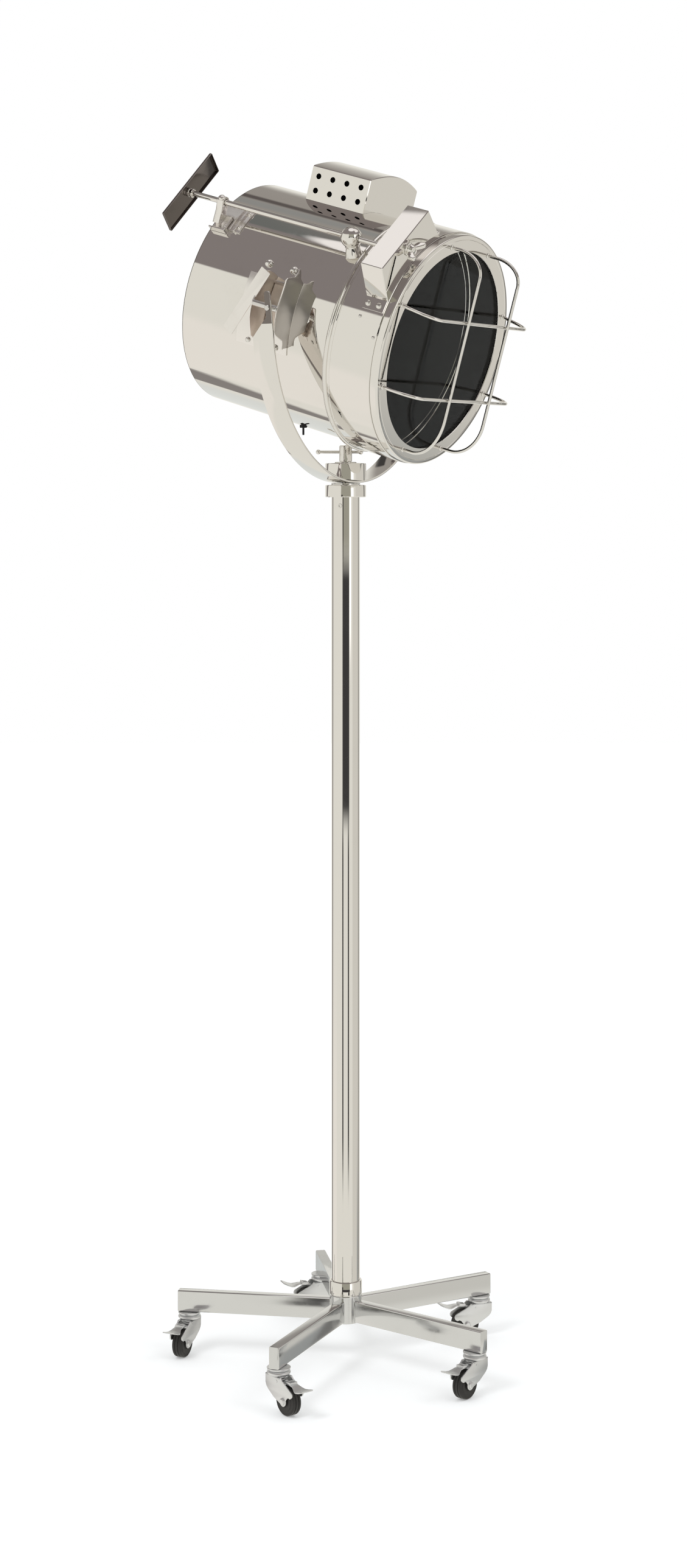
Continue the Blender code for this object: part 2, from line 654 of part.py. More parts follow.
def make_clamp_screw():
    seat = SADDLE_TOP + GAP
    washer_top = seat + WASHER_THICKNESS
    bore = CLAMP_SHANK_RADIUS + GAP
    turned("clamp_washer", [(bore, washer_top), (WASHER_RADIUS, washer_top), (WASHER_RADIUS, seat), (bore, seat)],
           pan, STEEL, ring=True, steps=32)
    head = washer_top + GAP
    top = head + CLAMP_HEAD_HEIGHT
    edge = 0.001
    low = SADDLE_TOP - CLAMP_SHANK_LENGTH
    profile = [(0, top), (CLAMP_HEAD_RADIUS - edge, top), (CLAMP_HEAD_RADIUS, top - edge), (CLAMP_HEAD_RADIUS, head),
               (CLAMP_SHANK_RADIUS, head), (CLAMP_SHANK_RADIUS, low), (0, low)]
    screw_axis = empty("clamp_axis", stand, Matrix.Identity(4))
    screw = turned("clamp_screw", profile, screw_axis, NICKEL, steps=32)
    height = top - TOMMY_DROP
    hole = rod("tommy_hole", TOMMY_RADIUS + GAP, (-0.03, 0, height), (0.03, 0, height), screw_axis, None, 12)
    cut(screw, hole)
    half = TOMMY_LENGTH / 2
    bar = rod("tommy_bar", TOMMY_RADIUS, (TOMMY_SLID - half, 0, height), (TOMMY_SLID + half, 0, height),
              screw_axis, NICKEL, 12)
    for side_sign, label in ((-1, "left"), (1, "right")):
        end = ball(f"tommy_ball_{label}", TOMMY_BALL_RADIUS, (TOMMY_SLID + side_sign * half, 0, height),
                   screw_axis, None, 12)
        join(bar, end)


make_spigot()
make_saddle()
make_yoke()
make_clamp_screw()

nod = Matrix.Rotation(radians(HEAD_PITCH), 4, "Y")
tilt = empty("tilt_axis", pan, Matrix.Translation((PIVOT_FORWARD, 0, HEAD_HEIGHT + PIVOT_RISE)) @ nod)
pivot = nod.inverted() @ Vector((PIVOT_FORWARD, 0, PIVOT_RISE))
head = empty("head", tilt, Matrix.Translation(-pivot))


def round_the_drum(radius, bearing, place=0.0):
    # A point at a bearing in degrees from the top towards the right-hand side.
    turn = radians(bearing)
    return Vector((place, -radius * sin(turn), radius * cos(turn)))


def sector(inner, outer, start, end, count=13):
    # A slice of a ring seen along X, with bearings as in round_the_drum.
    first, last = 90 + start, 90 + end
    points = arc((0, 0), outer, first, last, count) + arc((0, 0), inner, last, first, count)
    return points


def make_bracket(side):
    # The outlines are drawn for the right-hand side, at -Y, and mirrored by the sign.
    label = "left" if side > 0 else "right"
    seat = DRUM_RADIUS + GAP
    base = arc((0, 0), seat, 90 + BRACKET_START + 7, 90 + BRACKET_END - 4, 13)
    out, skin = TRUNNION_BAR_REACH, DRUM_RADIUS
    low = [(-skin - BRACKET_TOE, -0.047), (-skin - BRACKET_HEEL, -0.040), (-out + 0.001, -0.031)]
    straight = low + [(-out - BRACKET_LIP, 0.010), (-out - BRACKET_LIP + 0.008, BRACKET_TOP - 0.002),
                      (-skin - BRACKET_BROW, BRACKET_TOP + 0.003)]
    skewed = low + [(-out - BRACKET_SKEW_LIP, BRACKET_SKEW_END), (-skin - BRACKET_SKEW_BROW, BRACKET_TOP - 0.006),
                    (-skin - BRACKET_BROW, BRACKET_TOP + 0.003)]
    foot = sector(seat, seat + BRACKET_SHEET, BRACKET_START, BRACKET_END)
    rear = TRUNNION_REAR + BRACKET_SHEET
    for label_end, place, cheek in (("front", TRUNNION_FRONT, straight), ("rear", rear, skewed)):
        name = f"trunnion_bracket_{label}_{label_end}"
        middle = place - BRACKET_SHEET / 2
        points = [(-side * y, z) for y, z in base + cheek]
        made = plate(name, points, BRACKET_SHEET, head, NICKEL, Matrix.Translation((middle, 0, 0)) @ FACING_X)
        back = place - BRACKET_FOOT
        if label_end == "front":
            back = max(back, rear + GAP)
        points = [(-side * y, z) for y, z in foot]
        pad = plate(name + "_foot", points, middle - back, head, None,
                    Matrix.Translation(((back + middle) / 2, 0, 0)) @ FACING_X)
        join(made, pad)
    reach = side * TRUNNION_BAR_REACH
    bar = rod(f"trunnion_bar_{label}", TRUNNION_BAR_RADIUS, (rear + GAP, reach, TRUNNION_BAR_RISE),
              (TRUNNION_FRONT - BRACKET_SHEET - GAP, reach, TRUNNION_BAR_RISE), head, STEEL)
    inner = side * (TRUNNION_BAR_REACH - 0.002)
    thread = rod(f"trunnion_thread_{label}", PIVOT_PIN_RADIUS + GAP, (0, inner - side * GAP, 0),
                 (0, side * (TRUNNION_BAR_REACH + 0.02), 0), tilt, None, 12)
    cut(bar, thread)
    rod(f"pivot_pin_{label}", PIVOT_PIN_RADIUS, (0, inner, 0), (0, side * arm_reach(side, PIVOT_RISE, YOKE_RADIUS), 0),
        tilt, STEEL, 12)


for side_of_head in (1, -1):
    make_bracket(side_of_head)


def make_drum():
    wall = DRUM_RADIUS - DRUM_WALL
    drum = turned("drum", [(wall, DRUM_FRONT), (DRUM_RADIUS, DRUM_FRONT), (DRUM_RADIUS, DRUM_REAR), (wall, DRUM_REAR)],
                  head, NICKEL, ALONG_X, ring=True)
    middle_y = (VENT_NEAR + VENT_FAR) / 2
    middle_x = (VENT_REAR + VENT_FRONT) / 2
    slot = block("drum_vent_slot", (middle_x - VENT_SLOT_LENGTH / 2, middle_y - VENT_SLOT_WIDTH / 2, 0.1),
                 (middle_x + VENT_SLOT_LENGTH / 2, middle_y + VENT_SLOT_WIDTH / 2, 0.3), head, None)
    cut(drum, slot)

    plug = wall - GAP
    face = DRUM_REAR - GAP
    thick = DRUM_WALL
    dome = [(DRUM_RADIUS * cos(radians(t)), face - REAR_DOME * sin(radians(t))) for t in (0, 22, 50, 75)]
    inside = [(max(r - thick, 0), h + thick) for r, h in dome[1:]]
    profile = [(0, face - REAR_DOME + thick)] + inside[::-1] + [(plug - thick, face + thick)]
    profile += [(plug - thick, face + REAR_RIM), (plug, face + REAR_RIM), (plug, face)] + dome
    profile += [(0, face - REAR_DOME)]
    turned("rear_cover", profile, head, NICKEL, ALONG_X)

    inner = BARREL_RADIUS - DRUM_WALL
    lip = DRUM_RADIUS + GAP
    bead = arc((BARREL_REAR + BEAD_RADIUS, BARREL_RADIUS), BEAD_RADIUS, 0, 180, 5)
    profile = [(inner, BARREL_FRONT), (BARREL_RADIUS, BARREL_FRONT)]
    profile += [(y, x) for x, y in bead]
    profile += [(lip, BARREL_REAR), (lip, BARREL_REAR + DRUM_WALL), (inner, BARREL_REAR + 2 * BEAD_RADIUS)]
    turned("front_barrel", profile, head, NICKEL, ALONG_X, ring=True)


def make_front():
    outer = BARREL_RADIUS - DRUM_WALL - GAP
    inner = outer - BEZEL_WALL
    back = BARREL_FRONT - BEZEL_OVERLAP
    face = BEZEL_FRONT - BEZEL_WALL
    roll = 0.0035
    corner = arc((BEZEL_FRONT - roll, outer - roll), roll, 0, 90, 4)
    profile = [(OPENING_RADIUS, face), (OPENING_RADIUS, BEZEL_FRONT)]
    profile += [(y, x) for x, y in corner]
    profile += [(outer, back), (inner, back), (inner, face)]
    turned("bezel", profile, head, NICKEL, ALONG_X, ring=True)
    glass_front = face - GAP
    pane = inner - GAP
    edge = 0.001
    turned("front_glass", [(0, glass_front), (pane - edge, glass_front), (pane, glass_front - edge),
                           (pane, glass_front - GLASS_THICKNESS), (0, glass_front - GLASS_THICKNESS)],
           head, GLASS, ALONG_X)


def cage_path(foot_offset, front_offset, first_drop, last_drop, level):
    # One rod from foot to foot as (forward, offset, across), bent round at both ends.
    foot = sqrt(CAGE_FOOT_RADIUS ** 2 - foot_offset ** 2)
    seat = BEZEL_FRONT + GAP
    front = BEZEL_FRONT + CAGE_DEPTH - level
    halves = []
    for side, drop in ((1, first_drop), (-1, last_drop)):
        points = [(seat, foot_offset, side * foot), (seat + CAGE_ROD_RADIUS, foot_offset, side * foot)]
        for x, y in arc((front - CAGE_BEND, foot - drop), 1.0, 90, 0, 7):
            forward = front - CAGE_BEND + CAGE_BEND * (x - front + CAGE_BEND)
            across = foot - drop + drop * (y - foot + drop)
            share = (forward - seat) / (front - seat)
            points.append((forward, foot_offset + (front_offset - foot_offset) * share, side * across))
        halves.append(points)
    return halves[0] + halves[1][::-1]


def make_cage():
    rods = []
    for number, (foot_offset, front_offset, top_drop, low_drop) in enumerate(CAGE_UPRIGHTS):
        path = cage_path(foot_offset, front_offset, top_drop, low_drop, 0.0)
        rods.append(("upright", number, [(x, offset, across) for x, offset, across in path]))
    for number, (foot_offset, front_offset, left_drop, right_drop) in enumerate(CAGE_LEVELS):
        path = cage_path(foot_offset, front_offset, left_drop, right_drop, CAGE_STEP)
        rods.append(("level", number, [(x, across, offset) for x, offset, across in path]))
    first = None
    for kind, number, points in rods:
        look = NICKEL if first is None else None
        name = "cage_guard" if first is None else f"cage_{kind}_{number}"
        made = tube(name, points, CAGE_ROD_RADIUS, head, look)
        if first is None:
            first = made
        else:
            join(first, made)


def make_lamp():
    rim = DRUM_RADIUS - DRUM_WALL - GAP
    steps = 4
    curve = [REFLECTOR_HOLE + (rim - REFLECTOR_HOLE) * i / steps for i in range(steps + 1)]
    front = [(r, REFLECTOR_VERTEX + r * r / (4 * REFLECTOR_FOCUS) + REFLECTOR_SHEET) for r in curve]
    back = [(r, REFLECTOR_VERTEX + r * r / (4 * REFLECTOR_FOCUS)) for r in curve]
    turned("reflector", front + back[::-1], head, MIRROR, ALONG_X, ring=True)
    seat = DRUM_REAR - GAP - REAR_DOME + DRUM_WALL + GAP
    bore = BULB_NECK + GAP
    depth = SOCKET_FRONT - 0.025
    turned("lamp_socket", [(0, depth), (bore, depth), (bore, SOCKET_FRONT), (SOCKET_RADIUS, SOCKET_FRONT),
                           (SOCKET_RADIUS, seat), (0, seat)], head, PORCELAIN, ALONG_X, steps=WHEEL_STEPS)
    focus = REFLECTOR_VERTEX + REFLECTOR_FOCUS
    start = asin(BULB_NECK / BULB_RADIUS)
    globe = [(BULB_RADIUS * sin(start + (pi - start) * i / 7), focus - BULB_RADIUS * cos(start + (pi - start) * i / 7))
             for i in range(8)]
    outline = [(0, depth + GAP), (BULB_NECK, depth + GAP)] + globe
    outline[-1] = (0, focus + BULB_RADIUS)
    turned("bulb", outline[::-1], head, OPAL, ALONG_X, steps=WHEEL_STEPS)


def vent_outline(inset):
    # The box seen along X: walls, arched roof and a bottom that reaches into the drum.
    near, far = VENT_NEAR + inset, VENT_FAR - inset
    low = 0.12
    count = 11
    roof = []
    for i in range(count):
        t = i / (count - 1)
        y = near + (far - near) * t
        eave = VENT_NEAR_TOP + (VENT_FAR_TOP - VENT_NEAR_TOP) * t
        roof.append((y, eave + (VENT_PEAK - eave) * sin(pi * t) - inset))
    return [(near, low)] + roof + [(far, low)]


def make_vent():
    middle = (VENT_REAR + VENT_FRONT) / 2
    length = VENT_FRONT - VENT_REAR
    place = Matrix.Translation((middle, 0, 0)) @ FACING_X
    box = plate("vent_box", vent_outline(0.0), length, head, NICKEL, place)
    skirt_outline = [(VENT_NEAR - VENT_SKIRT, 0.1), (VENT_NEAR - VENT_SKIRT, 0.3), (VENT_FAR + VENT_SKIRT, 0.3),
                     (VENT_FAR + VENT_SKIRT, 0.1)]
    skirt = turned("vent_skirt", [(DRUM_RADIUS - 0.01, length / 2 + VENT_SKIRT),
                                  (DRUM_RADIUS + GAP + VENT_SHEET, length / 2 + VENT_SKIRT),
                                  (DRUM_RADIUS + GAP + VENT_SHEET, -length / 2 - VENT_SKIRT),
                                  (DRUM_RADIUS - 0.01, -length / 2 - VENT_SKIRT)], head, None,
                   Matrix.Translation((middle, 0, 0)) @ ALONG_X, ring=True)
    keep = plate("vent_skirt_keep", skirt_outline, length + 0.1, head, None, place)
    boolean(skirt, keep, "INTERSECT")
    hollow = plate("vent_hollow", vent_outline(VENT_SHEET), length - 2 * VENT_SHEET, head, None, place)
    drum_space = rod("vent_drum_space", DRUM_RADIUS + GAP, (-0.5, 0, 0), (0.5, 0, 0), head, None, TURN_STEPS)
    join(box, skirt)
    cut(box, hollow, drum_space)
    inner_length = length - 2 * 0.017
    first_z = 0.214
    row_step = 0.026
    for row in range(VENT_HOLE_ROWS):
        for place_in_row in range(VENT_HOLES):
            x = VENT_REAR + 0.017 + inner_length * place_in_row / (VENT_HOLES - 1)
            z = first_z + row * row_step
            hole = rod(f"vent_hole_{row}_{place_in_row}", VENT_HOLE_RADIUS, (x, VENT_NEAR - 0.02, z),
                       (x, VENT_FAR + 0.02, z), head, None, 12)
            cut(box, hole)


def gear(place=0.0):
    # The side gear's frame: X forward, Y to the right-hand side round the drum, Z away from the drum.
    return Matrix.Rotation(radians(GEAR_BEARING), 4, "X") @ Matrix.Translation((place, 0, 0))


def make_bridge():
    low = 0.15
    length = BRIDGE_FRONT - BRIDGE_REAR
    middle = (BRIDGE_FRONT + BRIDGE_REAR) / 2
    place = gear(middle) @ FACING_X
    seat = BARREL_RADIUS + GAP
    foot_height = sqrt(seat ** 2 - BRIDGE_FOOT_HALF ** 2)
    walls = [(-BRIDGE_FOOT_HALF, low), (-BRIDGE_FOOT_HALF, foot_height), (-BRIDGE_TOP_HALF, BRIDGE_TOP),
             (BRIDGE_TOP_HALF, BRIDGE_TOP), (BRIDGE_FOOT_HALF, foot_height), (BRIDGE_FOOT_HALF, low)]
    s = BRIDGE_SHEET
    space = [(-BRIDGE_FOOT_HALF + s, low - 0.01), (-BRIDGE_FOOT_HALF + s, foot_height),
             (-BRIDGE_TOP_HALF + s, BRIDGE_TOP - s), (BRIDGE_TOP_HALF - s, BRIDGE_TOP - s),
             (BRIDGE_FOOT_HALF - s, foot_height), (BRIDGE_FOOT_HALF - s, low - 0.01)]
    box = plate("bridge_box", walls, length, head, NICKEL, place)
    foot_start = 180 / pi * asin(BRIDGE_FOOT_HALF / seat) - 1
    foot_end = foot_start + 1 + BRIDGE_PAD_ANGLE
    for sign, label in ((1, "near"), (-1, "far")):
        outline = sector(seat, seat + 1.5 * s, sign * foot_start, sign * foot_end, 7)
        pad = plate(f"bridge_pad_{label}", outline, length, head, None, place)
        join(box, pad)
    hollow = plate("bridge_hollow", space, length - 2 * s, head, None, place)
    barrel = rod("bridge_barrel_space", seat, (-0.5, 0, 0), (0.5, 0, 0), head, None, TURN_STEPS)
    cut(box, hollow, barrel)
    rod_hole = rod("bridge_rod_hole", ROD_RADIUS + RUNNING, round_the_drum(ROD_REACH, GEAR_BEARING, BRIDGE_REAR - 0.01),
                   round_the_drum(ROD_REACH, GEAR_BEARING, BRIDGE_REAR + 0.01), head, None)
    wing_hole = rod("bridge_wing_hole", WING_SHANK_RADIUS + RUNNING,
                    round_the_drum(WING_BORE_REACH, GEAR_BEARING, BRIDGE_FRONT - 0.01),
                    round_the_drum(WING_BORE_REACH, GEAR_BEARING, BRIDGE_FRONT + 0.01), head, None)
    cut(box, rod_hole, wing_hole)


def make_wing_screw():
    axis_frame = gear() @ Matrix.Translation((0, 0, WING_BORE_REACH))
    wing_axis = empty("wing_axis", head, axis_frame)
    seat = BRIDGE_FRONT + GAP
    shank = rod("wing_screw", WING_SHANK_RADIUS, (seat - 0.010, 0, 0), (seat + 0.006, 0, 0), wing_axis, NICKEL, 12)
    hub = rod("wing_hub", WING_HUB_RADIUS, (seat, 0, 0), (seat + 0.010, 0, 0), wing_axis, None, 16,
              WING_HUB_RADIUS * 0.75)
    half = WING_SPAN / 2
    wings = [(0.002, -0.004), (0.010, -half + 0.002), (0.019, -half - 0.001), (0.025, -half + 0.003),
             (0.023, -half + 0.008), (0.010, -0.004), (0.010, 0.004), (0.023, half - 0.008), (0.025, half - 0.003),
             (0.019, half + 0.001), (0.010, half - 0.002), (0.002, 0.004)]
    ears = plate("wing_ears", wings, 0.0025, wing_axis, None, Matrix.Translation((seat, 0, 0)))
    join(shank, hub, ears)


def make_rod():
    axis_frame = gear() @ Matrix.Translation((0, 0, ROD_REACH))
    rod_axis = empty("rod_axis", head, axis_frame)
    shaft = rod("control_rod", ROD_RADIUS, (ROD_REAR + GAP, 0, 0), (ROD_FRONT, 0, 0), rod_axis, NICKEL)
    boss = rod("control_rod_boss", PADDLE_BOSS_RADIUS, (ROD_REAR + GAP, 0, 0),
               (ROD_REAR + PADDLE_BOSS_LENGTH, 0, 0), rod_axis, None)
    join(shaft, boss)
    level = Matrix.Rotation(radians(-GEAR_BEARING + PADDLE_TURN), 4, "X")
    middle = Vector((ROD_REAR, PADDLE_SHIFT_LONG, PADDLE_SHIFT_SHORT))
    half = Vector((PADDLE_LENGTH / 2, PADDLE_WIDTH / 2))
    low = (middle.x - PADDLE_SHEET, middle.y - half.x, middle.z - half.y)
    high = (middle.x - PADDLE_SHEET + PADDLE_THICKNESS, middle.y + half.x, middle.z + half.y)
    paddle = block("paddle", low, high, rod_axis, NICKEL, level)
    wall = PADDLE_SHEET
    tray = block("paddle_tray", (middle.x, low[1] + wall, low[2] + wall), (high[0] + 0.01, high[1] - wall, high[2] - wall),
                 rod_axis, None, level)
    soften(paddle, 0.0008)
    cut(paddle, tray)


def make_post():
    # The ball sits on a cone that leans forward and outward.
    foot = DRUM_RADIUS + GAP
    centre = round_the_drum(ROD_REACH, GEAR_BEARING, BALL_PLACE)
    base = round_the_drum(foot - 0.005, POST_BEARING, POST_PLACE)
    neck = centre + (base - centre).normalized() * BALL_RADIUS * 0.7
    post = rod("ball_post", POST_FOOT_RADIUS, base, neck, head, NICKEL, 24, POST_TOP_RADIUS)
    knob = ball("ball_post_ball", BALL_RADIUS, centre, head, None, 20)
    bore = rod("ball_post_bore", ROD_RADIUS + RUNNING, round_the_drum(ROD_REACH, GEAR_BEARING, BALL_PLACE - 0.03),
               round_the_drum(ROD_REACH, GEAR_BEARING, BALL_PLACE + 0.03), head, None)
    drum_space = rod("ball_post_drum_space", foot, (-0.5, 0, 0), (0.5, 0, 0), head, None, TURN_STEPS)
    join(post, knob)
    cut(post, bore, drum_space)


def make_rear_bracket():
    seat = DRUM_RADIUS + GAP
    centre = round_the_drum(ROD_REACH, GEAR_BEARING)
    boss = 0.0085
    low = round_the_drum(seat + 0.002, 54.0)
    run = Vector((centre.y - low.y, centre.z - low.z)).normalized()
    across = Vector((-run.y, run.x)) * boss
    heading = 180 / pi * atan2(run.y, run.x)
    cap = arc((centre.y, centre.z), boss, heading - 90, heading + 90, 9)
    upright_outline = cap + [(low.y + across.x, low.z + across.y), (low.y - across.x, low.z - across.y)]
    half = REAR_BRACKET_WIDTH / 2
    place = Matrix.Translation((REAR_BRACKET_PLACE, 0, 0)) @ FACING_X
    bracket = plate("rod_bracket", upright_outline, 2 * half, head, NICKEL, place)
    foot = sector(seat - 0.002, seat + 0.004, REAR_BRACKET_FOOT_START, REAR_BRACKET_FOOT_END, 9)
    foot_middle = REAR_BRACKET_FOOT_REAR + REAR_BRACKET_FOOT_LENGTH / 2
    pad = plate("rod_bracket_foot", foot, REAR_BRACKET_FOOT_LENGTH, head, None,
                Matrix.Translation((foot_middle, 0, 0)) @ FACING_X)
    raised = sector(seat - 0.003, seat + REAR_BRACKET_BLOCK_HEIGHT, REAR_BRACKET_FOOT_END - 7.3,
                    REAR_BRACKET_FOOT_END + 0.3, 4)
    block_middle = REAR_BRACKET_FOOT_REAR + REAR_BRACKET_BLOCK_LENGTH / 2 - 0.0005
    step = plate("rod_bracket_block", raised, REAR_BRACKET_BLOCK_LENGTH, head, None,
                 Matrix.Translation((block_middle, 0, 0)) @ FACING_X)
    bore = rod("rod_bracket_bore", ROD_RADIUS + RUNNING,
               round_the_drum(ROD_REACH, GEAR_BEARING, REAR_BRACKET_PLACE - 0.02),
               round_the_drum(ROD_REACH, GEAR_BEARING, REAR_BRACKET_PLACE + 0.02), head, None)
    drum_space = rod("rod_bracket_drum_space", seat, (-0.5, 0, 0), (0.5, 0, 0), head, None, TURN_STEPS)
    join(bracket, pad, step)
    cut(bracket, bore, drum_space)


make_drum()
make_front()
make_cage()
make_lamp()
make_vent()
make_bridge()
make_wing_screw()
make_rod()
make_post()
make_rear_bracket()
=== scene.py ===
import json
from math import asin, atan2, cos, pi, radians, sin, sqrt

import bmesh
import bpy
from mathutils import Matrix, Vector

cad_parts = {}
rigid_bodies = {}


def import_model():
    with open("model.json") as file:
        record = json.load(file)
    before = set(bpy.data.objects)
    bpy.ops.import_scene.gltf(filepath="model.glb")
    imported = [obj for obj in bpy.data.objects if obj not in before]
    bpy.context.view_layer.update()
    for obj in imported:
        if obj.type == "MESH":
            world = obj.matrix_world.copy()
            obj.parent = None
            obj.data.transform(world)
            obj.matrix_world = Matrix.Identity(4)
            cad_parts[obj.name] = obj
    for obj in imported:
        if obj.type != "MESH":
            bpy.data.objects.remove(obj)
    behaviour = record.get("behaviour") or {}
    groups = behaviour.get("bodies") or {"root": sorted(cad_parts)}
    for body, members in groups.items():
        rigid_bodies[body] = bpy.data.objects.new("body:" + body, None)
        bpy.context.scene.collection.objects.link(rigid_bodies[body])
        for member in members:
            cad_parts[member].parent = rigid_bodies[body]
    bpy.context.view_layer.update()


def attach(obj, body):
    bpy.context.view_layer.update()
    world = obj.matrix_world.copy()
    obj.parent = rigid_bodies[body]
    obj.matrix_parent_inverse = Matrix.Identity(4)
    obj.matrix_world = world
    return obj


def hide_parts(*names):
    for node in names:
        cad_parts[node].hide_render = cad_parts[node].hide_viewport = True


for leftOver in list(bpy.data.objects):
    bpy.data.objects.remove(leftOver, do_unlink=True)

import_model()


def movedBy(x, y, z):
    return Matrix.Translation((x, y, z))


def turnedBy(degrees, axis):
    return Matrix.Rotation(radians(degrees), 4, axis)


def linked(name, data):
    made = bpy.data.objects.new(name, data)
    bpy.context.scene.collection.objects.link(made)
    return made


def meshFrom(name, work):
    mesh = bpy.data.meshes.new(name)
    work.to_mesh(mesh)
    work.free()
    return mesh


# Where the pole stands and how the head hangs, in metres and degrees
pose = {"poleX": 0.0022, "poleY": 0.0141, "yaw": -32.0, "pitch": 16.0, "headHeight": 1.8645,
        "pivotForward": 0.0145, "pivotRise": 0.0075}

poleFoot = movedBy(pose["poleX"], pose["poleY"], 0)
panPlace = poleFoot @ turnedBy(pose["yaw"], "Z")
nod = turnedBy(pose["pitch"], "Y")
pivotInHead = nod.inverted() @ Vector((pose["pivotForward"], 0, pose["pivotRise"]))
tiltPlace = panPlace @ movedBy(pose["pivotForward"], 0, pose["headHeight"] + pose["pivotRise"]) @ nod
headPlace = tiltPlace @ Matrix.Translation(-pivotInHead)
alongX = turnedBy(90, "Y")       # a turned piece's axis laid along +X
drumPlace = headPlace @ alongX
still = Matrix.Identity(4)
# A flat outline stood across X, and one stood along X
facingX = Matrix(((0, 0, 1, 0), (1, 0, 0, 0), (0, 1, 0, 0), (0, 0, 0, 1)))
upright = Matrix(((1, 0, 0, 0), (0, 0, -1, 0), (0, 1, 0, 0), (0, 0, 0, 1)))

# Camera: level, with the film shifted down as the photograph is framed
camera = {"distance": 4.811, "height": 1.551, "lens": 61.55, "axisX": 568.0, "axisY": 815.0,
          "width": 1129.0, "tall": 2576.0, "film": 36.0}
cameraData = bpy.data.cameras.new("studioCamera")
cameraObject = linked("studioCamera", cameraData)
cameraData.sensor_fit = "VERTICAL"
cameraData.sensor_height = camera["film"]
cameraData.lens = camera["lens"]
cameraData.shift_x = (camera["width"] / 2 - camera["axisX"]) / camera["tall"]
cameraData.shift_y = -(camera["tall"] / 2 - camera["axisY"]) / camera["tall"]
cameraObject.location = (pose["poleX"], pose["poleY"] - camera["distance"], camera["height"])
cameraObject.rotation_euler = (radians(90), 0, 0)
bpy.context.scene.camera = cameraObject
bpy.context.scene.view_settings.view_transform = "Standard"
print("camera set")


class NodeSheet:
    # A node tree with short calls to add to it.
    def __init__(self, tree):
        self.tree = tree

    def add(self, kind, **values):
        node = self.tree.nodes.new(kind)
        for key, value in values.items():
            setattr(node, key, value)
        return node

    def feed(self, socket, value):
        if isinstance(value, bpy.types.NodeSocket):
            self.tree.links.new(value, socket)
        else:
            socket.default_value = value

    def sum(self, operation, first, second=0.0, third=None, clamp=False):
        node = self.add("ShaderNodeMath", operation=operation, use_clamp=clamp)
        self.feed(node.inputs[0], first)
        self.feed(node.inputs[1], second)
        if third is not None:
            self.feed(node.inputs[2], third)
        return node.outputs[0]

    def rise(self, value, start, end, low=0.0, high=1.0):
        node = self.add("ShaderNodeMapRange", interpolation_type="SMOOTHSTEP")
        for index, entry in enumerate((value, start, end, low, high)):
            self.feed(node.inputs[index], entry)
        return node.outputs[0]

    def band(self, value, low, high, soft):
        up = self.rise(value, low - soft, low + soft)
        down = self.rise(value, high - soft, high + soft, 1.0, 0.0)
        return self.sum("MULTIPLY", up, down)

    def blend(self, share, first, second):
        node = self.add("ShaderNodeMix", data_type="RGBA")
        self.feed(node.inputs[0], share)
        self.feed(node.inputs[6], first)
        self.feed(node.inputs[7], second)
        return node.outputs[2]

    def noise(self, vector, scale, detail=4.0, roughness=0.55):
        node = self.add("ShaderNodeTexNoise")
        self.feed(node.inputs["Vector"], vector)
        node.inputs["Scale"].default_value = scale
        node.inputs["Detail"].default_value = detail
        node.inputs["Roughness"].default_value = roughness
        return node.outputs[0]

    def background(self, colour):
        node = self.add("ShaderNodeBackground")
        self.feed(node.inputs[0], colour)
        return node.outputs[0]

    def mixed(self, share, first, second):
        node = self.add("ShaderNodeMixShader")
        for index, entry in enumerate((share, first, second)):
            self.feed(node.inputs[index], entry)
        return node.outputs[0]

    def mirroredRays(self, path):
        return self.sum("MAXIMUM", path.outputs["Is Glossy Ray"], path.outputs["Is Transmission Ray"])


# The studio as the metal sees it. Bearings run from the camera's side towards its right, heights
# up from level. A pair is where a change starts and ends; eaves are a level and its change at the back.
studio = {"pale": (0.85, 0.835, 0.775, 1), "ceiling": (0.252, 0.224, 0.218, 1),
          "ceilingBack": (0.345, 0.322, 0.297, 1), "back": (105.0, 160.0),
          "eaves": ((24.2, -5.0), (25.8, 13.0)), "gap": (0.275, 0.255, 0.245, 1), "gapAt": -130.0,
          "gapLean": 0.34, "gapSide": (8.5, 10.0), "gapFoot": (-39.2, -37.6),
          "overhead": (1.0, 0.965, 0.95, 1), "overheadLean": 10.0, "overheadHalf": 22.4,
          "overheadSoft": 0.3, "backdrop": (1, 1, 1, 1), "plain": (0.72, 0.715, 0.70, 1)}
# Each patch: middle and half width of its bearing, its lowest and highest point, softness, colour
lowPatches = (
    (-105, 27, -44, -11, 3.0, (0.914, 0.882, 0.825, 1)),      # floor lit from the left
    (-168, 13, -40, -9, 4.0, (0.783, 0.803, 0.780, 1)),       # floor at the back
    (108, 50, -22, 26, 6.0, (0.715, 0.695, 0.640, 1)),        # wall on the right
)
wallPatches = (
    (117, 12, -34, -14.5, 2.0, (0.375, 0.385, 0.375, 1)),     # grey stand on the right
    (129, 6, -24, 22, 1.2, (0.20, 0.195, 0.185, 1)),          # gap between the right-hand walls
    (2, 28, -1.4, 26, 0.6, (0.375, 0.365, 0.305, 1)),         # the unlit room behind the camera
    (2, 27.5, -6.9, -1.4, 0.4, (0.052, 0.050, 0.050, 1)),     # the camera, with its stand's two legs
    (-22.5, 5.0, -14.2, -6.9, 0.8, (0.060, 0.058, 0.055, 1)),
    (22.5, 5.0, -14.2, -6.9, 0.8, (0.050, 0.048, 0.046, 1)),
    (-20.5, 4.0, -1.4, 4, 0.8, (0.075, 0.07, 0.065, 1)),
    (38, 8, -3.2, 19, 0.8, (1.42, 1.40, 1.37, 1)),            # softbox on the right
)
